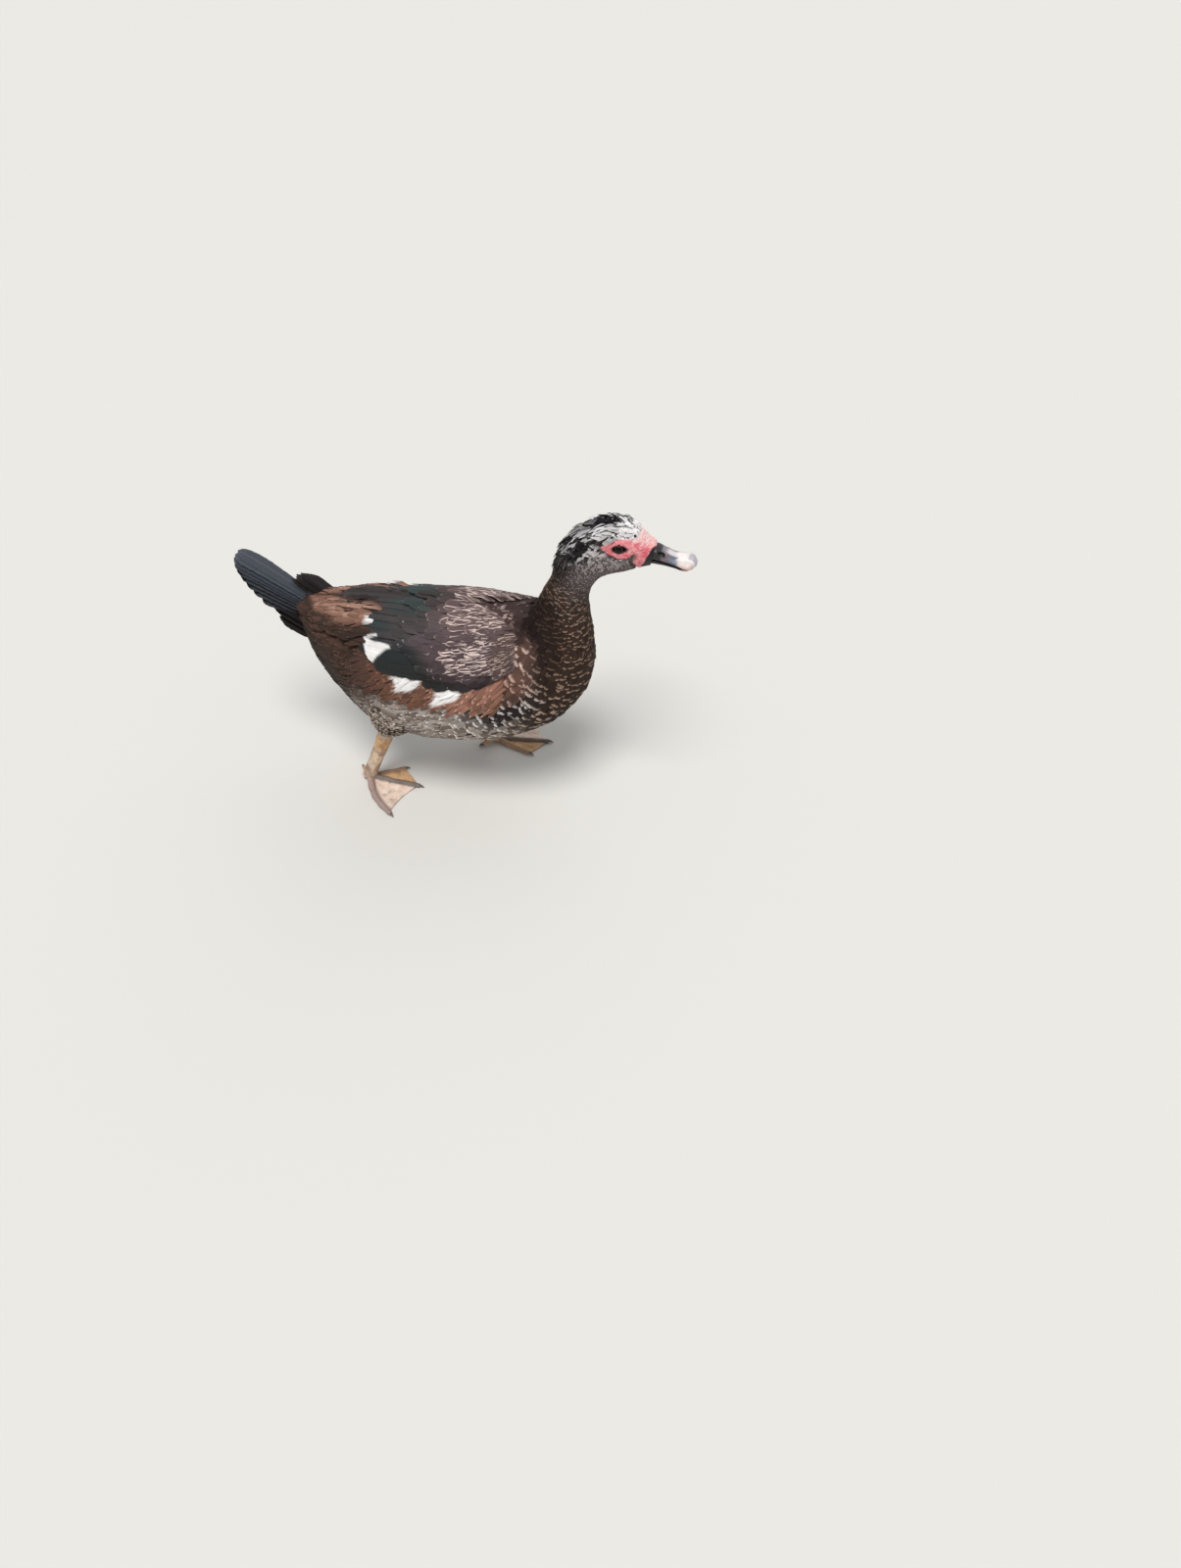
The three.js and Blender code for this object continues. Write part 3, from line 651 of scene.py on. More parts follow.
class Graph:
    """The nodes of one material."""

    def __init__(self, name: str) -> None:
        """Starts an empty material with its surface shader."""
        self.material = bpy.data.materials.new(name)
        self.material.use_nodes = True
        self.nodes = self.material.node_tree.nodes
        self.links = self.material.node_tree.links
        self.nodes.clear()
        self.shader = self.nodes.new("ShaderNodeBsdfPrincipled")
        output = self.nodes.new("ShaderNodeOutputMaterial")
        self.links.new(self.shader.outputs["BSDF"], output.inputs["Surface"])

    def node(
        self,
        kind: str,
        settings: dict[str, Any] | None = None,
        inputs: dict[str | int, Any] | None = None,
        output: str | int = 0,
    ) -> Wire:
        """Adds one node.

        Args:
            kind: The node's type.
            settings: Its own settings, which are set first.
            inputs: Values or wires for its sockets, by name or number.
            output: Which output to give back.

        Returns:
            That output as a wire.
        """
        made = self.nodes.new(kind)
        for key, value in (settings or {}).items():
            setattr(made, key, value)
        for key, value in (inputs or {}).items():
            self.feed(made.inputs[key], value)
        return Wire(self, made.outputs[output])

    def feed(self, socket: bpy.types.NodeSocket, value: Any) -> None:
        """Links a wire to a socket, or sets the socket's own value."""
        if isinstance(value, Wire):
            self.links.new(value.socket, socket)
        elif isinstance(value, np.ndarray):
            socket.default_value = (*value, 1.0) if len(socket.default_value) == 4 else tuple(value)
        else:
            socket.default_value = value

    def sum(self, operation: str, *values: "Wire | float") -> Wire:
        """A Math node on one, two or three values."""
        return self.node("ShaderNodeMath", {"operation": operation}, dict(enumerate(values)))

    def mix(self, share: "Wire | float", a: "Wire | Array", b: "Wire | Array", how: str = "MIX") -> Wire:
        """A mix of two colours."""
        settings = {"data_type": "RGBA", "blend_type": how}
        return self.node("ShaderNodeMix", settings, {0: share, 6: a, 7: b}, 2)

    def shaded(self, colour: Wire, shade: Wire) -> Wire:
        """A colour made lighter or darker by a value."""
        return self.mix(1.0, colour, self.vector(shade, shade, shade), "MULTIPLY")

    def field(self, name: str, output: str = "Color") -> Wire:
        """Numbers that the mesh keeps for its points."""
        return self.node("ShaderNodeAttribute", {"attribute_name": name}, output=output)

    def parts(self, vector: Wire) -> tuple[Wire, Wire, Wire]:
        """The three numbers of a vector."""
        made = self.nodes.new("ShaderNodeSeparateXYZ")
        self.links.new(vector.socket, made.inputs[0])
        x, y, z = (Wire(self, out) for out in made.outputs)
        return x, y, z

    def vector(self, x: "Wire | float", y: "Wire | float", z: "Wire | float") -> Wire:
        """A vector from three numbers."""
        return self.node("ShaderNodeCombineXYZ", inputs={0: x, 1: y, 2: z})

    def place(self) -> Wire:
        """Where the surface is, in the object's own space."""
        return self.node("ShaderNodeTexCoord", output="Object")

    def noise(self, at: Wire, scale: float, detail: float = 3.0, roughness: float = 0.5) -> Wire:
        """Soft noise round a half."""
        inputs = {"Vector": at, "Scale": scale, "Detail": detail, "Roughness": roughness}
        return self.node("ShaderNodeTexNoise", inputs=inputs)

    def cells(self, at: Wire, scale: float) -> Wire:
        """The distance to the nearest of many scattered points."""
        return self.node("ShaderNodeTexVoronoi", inputs={"Vector": at, "Scale": scale})

    def bump(self, height: Wire, distance: float, strength: float = 1.0) -> Wire:
        """A surface roughened by a height."""
        inputs = {"Height": height, "Distance": distance, "Strength": strength}
        return self.node("ShaderNodeBump", inputs=inputs, output="Normal")

    def dress(self, inputs: dict[str, Any]) -> Material:
        """Sets the surface shader and hands over the material."""
        for key, value in inputs.items():
            self.feed(self.shader.inputs[key], value)
        return self.material


@dataclass(frozen=True)
class FeatherFinish:
    """Feather vanes: a base and an edge colour, barbs, flecks, a shaft and a gloss.

    Attributes:
        barbs: How many barbs lie along one feather.
        rough: The roughness of a dull feather.
        shaft: How strongly the shaft shows.
        rib: The shaft's colour.
        flecks: How many flecks lie along a feather, and across half of it.
        shine: How strongly a feather mirrors light.
        edges: How far up its sides the edge colour reaches.
    """

    name: str
    barbs: float = 24.0
    rough: float = 0.78
    shaft: float = 0.25
    rib: int = 0x1A1512
    flecks: Pair = (1.7, 2.2)
    shine: float = 0.16
    edges: float = 0.7

    def make(self) -> Material:
        """Builds the material."""
        g = Graph(self.name)
        along, across, draw = g.parts(g.field("lane", "Vector"))
        rim_width, fleck, gloss = g.parts(g.field("marks", "Vector"))
        side = abs(across)
        streaks = g.noise(g.vector(along * self.barbs - side * 5.0, across * 1.3, draw * 40.0), 1.0, 2.0)
        fine = g.noise(g.vector(along * self.barbs * 4.0 - side * 18.0, across * 1.5, draw * 90.0), 1.0, 2.0)
        blotch = g.noise(g.place(), 130.0, 3.0)
        reach = along.most(side * self.edges) + (streaks - 0.5) * 0.24
        rim = reach.ease(1.0 - rim_width, 1.0 - rim_width * 0.45)
        spots = g.noise(g.vector(along * self.flecks[0], across * self.flecks[1], draw * 57.0), 1.0, 1.5)
        least = 0.8 - fleck * 0.31
        spot = spots.ease(least, least + 0.1)
        colour = g.mix(rim.most(spot), g.field("base_colour"), g.field("edge_colour"))
        shade = 0.54 + streaks * 0.42 + fine * 0.3 + blotch * 0.2
        colour = g.shaded(colour, shade)
        shaft = side.ease(0.085, 0.03) * self.shaft
        colour = g.mix(shaft, colour, paint(self.rib))
        height = streaks * 0.5 + fine * 0.5 + shaft
        return g.dress(
            {
                "Base Color": colour,
                "Roughness": self.rough - gloss * 0.3 + (fine - 0.5) * 0.12,
                "Metallic": gloss * 0.25,
                "Normal": g.bump(height, 0.00022, 0.7),
                "Specular IOR Level": self.shine,
            }
        )


@dataclass(frozen=True)
class SkinFinish:
    """The skin: painted dark as shade under the feathers, moist and pebbled where it is bare."""

    name: str = "skin"

    def make(self) -> Material:
        """Builds the material."""
        g = Graph(self.name)
        bare = g.field("bare", "Fac")
        place = g.place()
        mottle = g.noise(place, 420.0, 4.0, 0.6)
        pores = g.cells(place, 1500.0)
        wrinkles = g.noise(place, 1800.0, 4.0, 0.65)
        shade = 0.72 + mottle * 0.36 + pores * 0.22
        colour = g.shaded(g.field("base_colour"), shade)
        height = pores * 0.6 + wrinkles * 0.7 + mottle * 0.4
        return g.dress(
            {
                "Base Color": colour,
                "Roughness": 0.85 - bare * 0.4 + (mottle - 0.5) * 0.2,
                "Normal": g.bump(height, 0.0003, 0.7),
                "Subsurface Weight": 0.12,
                "Subsurface Radius": np.array([0.6, 0.25, 0.15]),
                "Subsurface Scale": 0.002,
                "Specular IOR Level": 0.35,
            }
        )


@dataclass(frozen=True)
class HornFinish:
    """Horn of the bill and claws: streaked, with a thin gloss.

    Attributes:
        rough: Its roughness.
        streak: How many streaks lie in a metre across.
    """

    name: str
    rough: float = 0.42
    streak: float = 700.0

    def make(self) -> Material:
        """Builds the material."""
        g = Graph(self.name)
        x, y, z = g.parts(g.place())
        streaks = g.noise(g.vector(x * 0.22, y, z), self.streak, 4.0, 0.6)
        cloud = g.noise(g.place(), 170.0, 4.0, 0.6)
        grain = g.noise(g.place(), 2600.0, 2.0)
        shade = 0.66 + streaks * 0.36 + cloud * 0.34
        colour = g.shaded(g.field("base_colour"), shade)
        return g.dress(
            {
                "Base Color": colour,
                "Roughness": self.rough + (cloud - 0.5) * 0.25 + (grain - 0.5) * 0.1,
                "Normal": g.bump(streaks * 0.7 + grain * 0.3, 0.00025, 0.6),
                "Coat Weight": 0.1,
                "Coat Roughness": 0.3,
                "Specular IOR Level": 0.4,
            }
        )


@dataclass(frozen=True)
class ScaleFinish:
    """Scaled skin of the shanks and webs."""

    name: str = "scaled_skin"

    def make(self) -> Material:
        """Builds the material."""
        g = Graph(self.name)
        place = g.place()
        scales = g.cells(place, 620.0)
        fine = g.cells(place, 1700.0)
        cloud = g.noise(place, 90.0, 4.0, 0.6)
        grime = g.noise(place, 320.0, 4.0, 0.65)
        shade = 0.62 + cloud * 0.4 + grime * 0.5 - scales * 0.2
        colour = g.shaded(g.field("base_colour"), shade)
        colour = g.mix(grime.ease(0.55, 0.75) * 0.35, colour, paint(0x6A5648))
        return g.dress(
            {
                "Base Color": colour,
                "Roughness": 0.55 + (grime - 0.5) * 0.3,
                "Normal": g.bump(scales * -0.7 + fine * -0.3, 0.00035, 0.8),
                "Subsurface Weight": 0.08,
                "Subsurface Radius": np.array([0.6, 0.3, 0.15]),
                "Subsurface Scale": 0.002,
                "Specular IOR Level": 0.35,
            }
        )


@dataclass(frozen=True)
class EyeFinish:
    """The eyeball: a dark pupil, a brown ring and a wet gloss."""

    name: str = "eye"

    def make(self) -> Material:
        """Builds the material."""
        g = Graph(self.name)
        from_middle, turn, _ = g.parts(g.field("gaze", "Vector"))
        rays = g.noise(g.vector(turn * 9.0, from_middle * 2.0, 0.0), 3.0, 3.0)
        iris = g.mix(rays, paint(0x140A06), paint(0x40240F))
        colour = g.mix(from_middle.ease(0.47, 0.52), paint(0x020202), iris)
        colour = g.mix(from_middle.ease(0.72, 0.82), colour, paint(0x0C0706))
        return g.dress(
            {
                "Base Color": colour,
                "Roughness": 0.3,
                "Coat Weight": 0.35,
                "Coat Roughness": 0.03,
                "Coat IOR": 1.38,
                "Specular IOR Level": 0.15,
            }
        )


@dataclass(frozen=True)
class FloorFinish:
    """The plain pale floor."""

    name: str = "pale_floor"

    def make(self) -> Material:
        """Builds the material."""
        g = Graph(self.name)
        return g.dress({"Base Color": paint(0xDDDBD6), "Roughness": 0.9, "Specular IOR Level": 0.1})


# Markings


# The size in millimetres of the waves in the markings' borders
WANDER_SIZE = 16.0


@dataclass(frozen=True)
class Oval:
    """A soft oval on the body, in stations and degrees from the back."""

    station: float
    degrees: float
    along: float
    across: float
    soft: float = 0.45

    def share(self, u: Array, degrees: Array) -> Array:
        """How far a place is in the oval, from 0 to 1."""
        away = np.hypot((u - self.station) / self.along, (degrees - self.degrees) / self.across)
        return ease(away, 1 + self.soft, 1 - self.soft)


@dataclass(frozen=True)
class Outline:
    """A crisp patch on the body between corners, in stations and degrees from the back."""

    corners: tuple[Pair, ...]
    soft: float = 1.0

    def share(self, u: Array, degrees: Array) -> Array:
        """How far a place is in the patch, from 0 to 1."""
        scale = np.array([STATION_SIZE, DEGREE_SIZE])
        inside = depth_inside(np.stack([u, degrees], -1) * scale, np.array(self.corners) * scale)
        return ease(inside, -self.soft, self.soft)


def depth_inside(points: Array, corners: Array) -> Array:
    """How deep points lie inside a flat outline, below 0 outside it.

    Args:
        points: Places in two numbers.
        corners: The outline's corners in order.

    Returns:
        The distance to the outline's edge, signed.
    """
    nearest = np.full(points.shape[:-1], 1e9)
    inside = np.zeros(points.shape[:-1], bool)
    for a, b in zip(corners, np.roll(corners, -1, axis=0)):
        edge = b - a
        t = np.clip(((points - a) @ edge) / (edge @ edge), 0, 1)
        nearest = np.minimum(nearest, np.linalg.norm(points - a - t[..., None] * edge, axis=-1))
        crosses = (points[..., 1] < a[1]) != (points[..., 1] < b[1])
        height = b[1] - a[1] if b[1] != a[1] else 1e-9
        at = a[0] + (points[..., 1] - a[1]) / height * edge[0]
        inside ^= crosses & (points[..., 0] < at)
    return np.where(inside, nearest, -nearest)


@dataclass(frozen=True)
class Marking:
    """One area of the plumage and what its feathers look like.

    Attributes:
        area: Where it is, or None for a ground that lies everywhere.
        base: The feathers' own colour.
        edge: The colour of their edges and flecks.
        rim: How much of a feather its edge takes.
        fleck: How strongly a feather is flecked.
        gloss: How glossy the feathers are.
        chance: The share of the area that takes the marking.
        only: The one side that has it, if not both.
    """

    area: Oval | Outline | None
    base: int
    edge: int
    rim: float = 0.2
    fleck: float = 0.0
    gloss: float = 0.0
    chance: float = 1.0
    only: Side | None = None


@dataclass(frozen=True)
class Plumage:
    """Markings laid over a ground, the same for skin and feathers.

    Attributes:
        ground: The look where no marking lies.
        markings: The markings, each laid over those before it.
        wander: How far their borders stray, in millimetres.
    """

    ground: Marking
    markings: tuple[Marking, ...]
    wander: float = 5.0

    def read(self, u: Array, degrees: Array, points: Array, draw: Array) -> dict[str, Array]:
        """The look of the feathers at places on the body.

        Args:
            u: Stations.
            degrees: Degrees from the back, below 0 on the right.
            points: The same places in millimetres.
            draw: One random number for each place, from 0 to 1.

        Returns:
            The base and edge colours, and the marks: rim, flecks and gloss.
        """
        around = np.abs(degrees)
        slow = np.interp(u, [0, 9, 13], [1.0, 1.0, 0.4]) * self.wander
        u = u + GRAIN.smooth(points, WANDER_SIZE) * slow / STATION_SIZE
        around = around + GRAIN.smooth(points + 500, WANDER_SIZE) * slow / DEGREE_SIZE
        base = np.broadcast_to(paint(self.ground.base), (*u.shape, 3)).copy()
        edge = np.broadcast_to(paint(self.ground.edge), (*u.shape, 3)).copy()
        start = [self.ground.rim, self.ground.fleck, self.ground.gloss]
        marks = np.broadcast_to(np.array(start), (*u.shape, 3)).copy()
        for i, marking in enumerate(self.markings):
            share = marking.area.share(u, around)
            pick = (draw * 7.3 + i * 0.37) % 1.0
            if marking.chance < 1:
                share = share * ease(marking.chance - pick, -0.04, 0.04)
            if marking.only:
                share = share * (degrees * marking.only.value > 0)
            base = blend(base, paint(marking.base), share)
            edge = blend(edge, paint(marking.edge), share)
            marks = blend(marks, np.array([marking.rim, marking.fleck, marking.gloss]), share)
        return {"base_colour": base, "edge_colour": edge, "marks": marks}


WHITE = 0xF1EEEC
COAT_LOOK = Plumage(
    Marking(None, 0x35271F, 0x6E5848, 0.1),
    (
        # Belly and flanks
        Marking(Oval(4.2, 118, 3.4, 46), 0x9C8F86, 0xEEE6DE, 0.13, 0.3),
        Marking(Oval(4.2, 118, 3.4, 46), 0x776A62, 0xCABFB5, 0.12, chance=0.35),
        Marking(Oval(4.4, 108, 2.4, 18), 0xB2A8A2, 0xFAF6F3, 0.14, 0.2, 0.0, 0.35),
        Marking(Oval(4.3, 165, 4.0, 38), 0x776B64, 0xC8BEB6, 0.1, 0.2),
        # Rump and vent
        Marking(Oval(1.2, 74, 1.9, 44), 0x3D2D26, 0x5B463D, 0.1),
        Marking(Oval(1.5, 66, 1.8, 34), 0x503A31, 0x74594D, 0.1, chance=0.45),
        Marking(Oval(0.8, 132, 1.7, 50), 0x38302C, 0x4F443D, 0.1),
        Marking(Oval(3.0, 0, 1.9, 13, 0.2), 0x38322F, 0x4A4340, 0.08, gloss=0.1),
        Marking(Oval(0.3, 0, 1.3, 13), 0x262020, 0x383131, 0.08),
        Marking(Oval(0.2, 40, 0.9, 50), 0x262020, 0x383131, 0.08, only=Side.LEFT),
        # Shoulders and upper back
        Marking(Oval(5.2, 6, 1.1, 16), 0x574644, 0xCDB6AE, 0.04, 0.6),
        Marking(Oval(6.6, 14, 1.2, 26), 0x433432, 0xA48C84, 0.08, 0.45),
        # Breast
        Marking(Oval(7.9, 128, 1.7, 70), 0x2B1F1A, 0xB8A28E, 0.16),
        Marking(Oval(8.6, 120, 1.1, 60), 0x2E201A, 0xA8907D, 0.17, chance=0.4),
        Marking(Oval(6.4, 92, 1.05, 15), 0x252021, 0xCFCBC9, 0.18, 0.3),
        # Neck
        Marking(Oval(10.4, 90, 3.2, 110), 0x35271F, 0x927767, 0.14, 0.1),
        # The three darker ovals below, towards the neck's base and its upper side, are partly the feathers'
        # own dark brown and partly painted shade.
        Marking(Oval(9.6, 54, 1.8, 44), 0x2B1D18, 0x65503F, 0.13),
        Marking(Oval(8.7, 46, 2.0, 42), 0x211612, 0x46352D, 0.12),
        Marking(Oval(7.6, 30, 1.2, 32), 0x1E1310, 0x33241E, 0.12),
        Marking(Oval(12.4, 100, 1.5, 80), 0x3E322D, 0x94847A, 0.14, 0.2, 0.0, 0.5),
        # Beside the wing's bend
        Marking(Oval(6.8, 58, 0.85, 24), 0x553F38, 0xC0A69B, 0.16, 0.5),
        Marking(Oval(6.5, 72, 0.55, 13), 0x5F453C, 0xA98577, 0.16, 0.3),
        # Head
        Marking(Oval(15.6, 120, 2.8, 84), 0x5C5251, 0xB4AAA9, 0.16, 0.3),
        Marking(Oval(16.0, 96, 1.9, 24), 0x9C9290, 0xDCD4D4, 0.16, 0.3, 0.0, 0.45),
        Marking(Oval(13.9, 0, 1.7, 80), 0x231F1F, 0x5A5553, 0.16),
        Marking(Oval(14.9, 46, 1.0, 32), 0x1E1B1D, 0x545256, 0.16),
        Marking(Oval(15.1, 40, 1.2, 40), 0xB9B5B6, 0xD4D0D1, 0.2, chance=0.4),
        Marking(Oval(16.4, 30, 0.9, 22), 0xE6E2E3, 0xF4F2F2, 0.2, chance=0.74),
        Marking(Oval(15.7, 22, 0.7, 9), 0xE2DEE0, 0xF0EEEE, 0.2, chance=0.8),
        Marking(Oval(17.1, 8, 1.1, 56), 0x2E2A2C, 0x4A4648, 0.2),
        Marking(Oval(17.2, 8, 1.1, 56), 0xF6F3F3, 0xFBF9F9, 0.2, chance=0.84),
        Marking(Oval(15.82, 9, 0.66, 15, 0.25), 0x18151A, 0x242126, 0.1, chance=0.93),
        Marking(Oval(15.6, 66, 0.42, 9), 0xB5AEAC, 0xE6E1DF, 0.2, chance=0.8),
    ),
)
TAN_BAND = Outline(
    ((0.1, 2), (1.2, 4), (1.9, 14), (2.66, 20), (2.9, 27), (2.5, 36), (1.9, 37), (0.7, 33)), 5.0
)
TAN_LOOK = Plumage(
    Marking(None, 0x3C2D27, 0x58453D, 0.1),
    (
        Marking(Oval(1.6, 44, 2.2, 18), 0x4A372F, 0x68503F, 0.1, chance=0.3),
        Marking(Oval(2.4, 2, 1.2, 8, 0.3), 0x302B2A, 0x403938, 0.08),
        Marking(TAN_BAND, 0x7C5B4D, 0xA17F6E, 0.1),
        Marking(Oval(1.9, 21, 1.1, 9), 0xA07C6B, 0xC8A292, 0.1, chance=0.6),
        Marking(Oval(2.76, 28, 0.13, 4.5, 0.2), WHITE, WHITE, 0.1),
        # Partly the feathers' own buff and partly a painted highlight along the back's far top edge.
        Marking(Oval(2.2, 20, 1.4, 9), 0x967062, 0xB59386, 0.2, only=Side.LEFT),
    ),
    3.0,
)
FLANK_LOOK = Plumage(
    Marking(None, 0x4A3730, 0x6E5448, 0.1),
    (
        Marking(Oval(4.6, 66, 1.6, 24), 0x624439, 0x8C6A5A, 0.12),
        Marking(Oval(4.2, 66, 1.1, 22), 0x73503F, 0xA87E68, 0.12, chance=0.6),
        Marking(Oval(5.6, 66, 1.1, 24), 0x84604F, 0xB89482, 0.14),
        Marking(Oval(5.4, 66, 1.0, 22), 0x94695A, 0xC8A08E, 0.14, chance=0.75),
        Marking(Outline(((3.5, 60.5), (4.2, 60.5), (4.16, 69), (3.66, 76))), WHITE, WHITE, 0.1),
        Marking(Outline(((4.8, 56), (5.25, 56), (5.2, 73), (4.5, 82))), WHITE, WHITE, 0.1),
    ),
    1.5,
)
WING_LOOK = Plumage(
    Marking(None, 0x3A3434, 0x484141, 0.05, gloss=0.15),
    (
        Marking(Oval(4.4, 36, 1.6, 16), 0x52464A, 0x5E5356, 0.05, gloss=0.1),
        Marking(Oval(5.6, 34, 1.3, 36), 0x53464A, 0x66575A, 0.05, 0.12),
        Marking(Oval(3.0, 22, 0.9, 16), 0x403B3B, 0x4C4646, 0.05, gloss=0.15),
        # The two greenish ovals here are partly the feathers' own near-black and partly painted sheen, the
        # wing's green gloss put into the colour.
        Marking(Oval(3.7, 58, 1.7, 13), 0x252928, 0x2E3433, 0.05, gloss=0.25),
        Marking(Oval(3.3, 47, 0.8, 9), 0x272B2B, 0x2E3433, 0.05, gloss=0.25),
        Marking(Oval(5.2, 60, 1.0, 6), 0x221E1F, 0x2E2A2B, 0.05, gloss=0.1),
        Marking(Oval(5.15, 14, 1.05, 17), 0x645150, 0xDCC6BE, 0.03, 0.9),
        Marking(Oval(5.2, 44, 0.95, 15), 0x544346, 0xDEC9C1, 0.03, 0.93),
        Marking(Oval(6.2, 42, 0.5, 22), 0x544340, 0xBBA399, 0.06, 0.8),
        # The two teal ovals here are partly the feathers' own dark colour and partly painted sheen.
        Marking(Oval(3.4, 12, 0.4, 6), 0x354343, 0x3B4A4A, 0.05, gloss=0.2),
        Marking(Oval(2.85, 31, 0.4, 6), 0x323838, 0x3C4444, 0.05, gloss=0.25),
        Marking(Oval(3.2, 26, 0.8, 16), 0x413C3D, 0xB3B4B4, 0.05, gloss=0.1, chance=0.25),
    ),
    1.2,
)
WHITE_PATCHES = (
    ((2.66, 41.5), (2.98, 43.5), (3.45, 43), (3.26, 47), (3.12, 53), (3.02, 60), (2.86, 56), (2.68, 46)),
    ((2.7, 41), (2.98, 37.2), (3.0, 38.8), (2.78, 42)),
)
WHITE_MARKINGS = tuple(Marking(Outline(corners), WHITE, WHITE, 0.1) for corners in WHITE_PATCHES)
LONG_WING_LOOK = replace(WING_LOOK, markings=(*WING_LOOK.markings, *WHITE_MARKINGS))
# The near-black edge colour is painted shadow where each feather lies over the next; the slate-blue and
# purple tints are partly the feathers' own and partly painted sheen.
TAIL_LOOK = Plumage(
    Marking(None, 0x393D42, 0x0F0F11, 0.14, gloss=0.3),
    (
        Marking(Oval(0.4, 1, 9, 3, 0.1), 0x504B55, 0x5C5761, 0.08, gloss=0.3),
        Marking(Oval(0.75, 1, 0.5, 5, 0.3), 0x40464F, 0x4B515A, 0.08, gloss=0.3),
    ),
    0.0,
)
# Painted shade: the skin under the feathers takes the coat's colours darkened to this share, so the gaps
# between feathers read dark.
UNDERCOAT_PAINTED_SHADE = 0.55
COVERT_LOOK = Plumage(Marking(None, 0x272223, 0x363030, 0.08), (), 0.0)
# Painted light: the thigh's colours are far paler than its own light grey-brown feathers, standing in for
# light in the shade under the belly.
THIGH_LOOK_PAINTED_LIGHT = Plumage(
    Marking(None, 0xDDD0C4, 0xFFFAF2, 0.18, 0.2),
    (Marking(Oval(1.0, 90, 4.0, 200), 0xB2A498, 0xF0E6DC, 0.18, chance=0.4),),
    0.0,
)


# Feathers


@dataclass(frozen=True)
class Cut:
    """The cut of a feather: rings along it, how wide it is there, and its build.

    Attributes:
        places: Where its rings are, from the root at 0 to the tip at 1.
        widths: How wide it is there, as a share of its greatest width.
        columns: Points across its upper face.
        thick: Its thickness at the shaft in millimetres.
        camber: The radius that its two vanes bend round, in millimetres.
        rag: How ragged its edges are.
    """

    places: tuple[float, ...]
    widths: tuple[float, ...]
    columns: int = 5
    thick: float = 0.5
    camber: float = 60.0
    rag: float = 0.08


DOWN_CUT = Cut((0, 0.3, 0.65, 0.9, 1), (0.5, 0.95, 0.95, 0.5, 0.12), 3, 0.35, 30, 0.12)
BODY_CUT = Cut((0, 0.28, 0.55, 0.8, 0.93, 1), (0.4, 0.85, 1, 1, 0.9, 0.5), 5, 0.5, 40, 0.08)
CREST_CUT = Cut((0, 0.25, 0.5, 0.75, 0.92, 1), (0.4, 0.9, 1, 0.8, 0.42, 0.1), 3, 0.4, 20, 0.12)
HAIR_CUT = Cut((0, 0.3, 0.55, 0.78, 0.93, 1), (0.5, 0.95, 1, 0.76, 0.36, 0.06), 3, 0.45, 16, 0.18)


def long_cut(rings: int, columns: int, blunt: float = 0.9, thick: float = 0.8, camber: float = 70.0) -> Cut:
    """The cut of a flight feather with many rings, set closer towards its tip.

    Args:
        rings: How many rings it has.
        columns: Points across its upper face.
        blunt: Where the tip starts to round off, as a share of the length.
        thick: Its thickness at the shaft.
        camber: The radius that its vanes bend round.

    Returns:
        The cut.
    """
    places = np.linspace(0, 1, rings) ** 0.8
    body = np.interp(places, [0, 0.12, 0.45, 0.8, 1], [0.35, 0.72, 0.93, 1, 1])
    over = np.clip((places - blunt) / (1 - blunt), 0, 1)
    widths = body * np.sqrt(np.maximum(1 - over**2, 0.004))
    return Cut(tuple(places), tuple(widths), columns, thick, camber, 0.03)


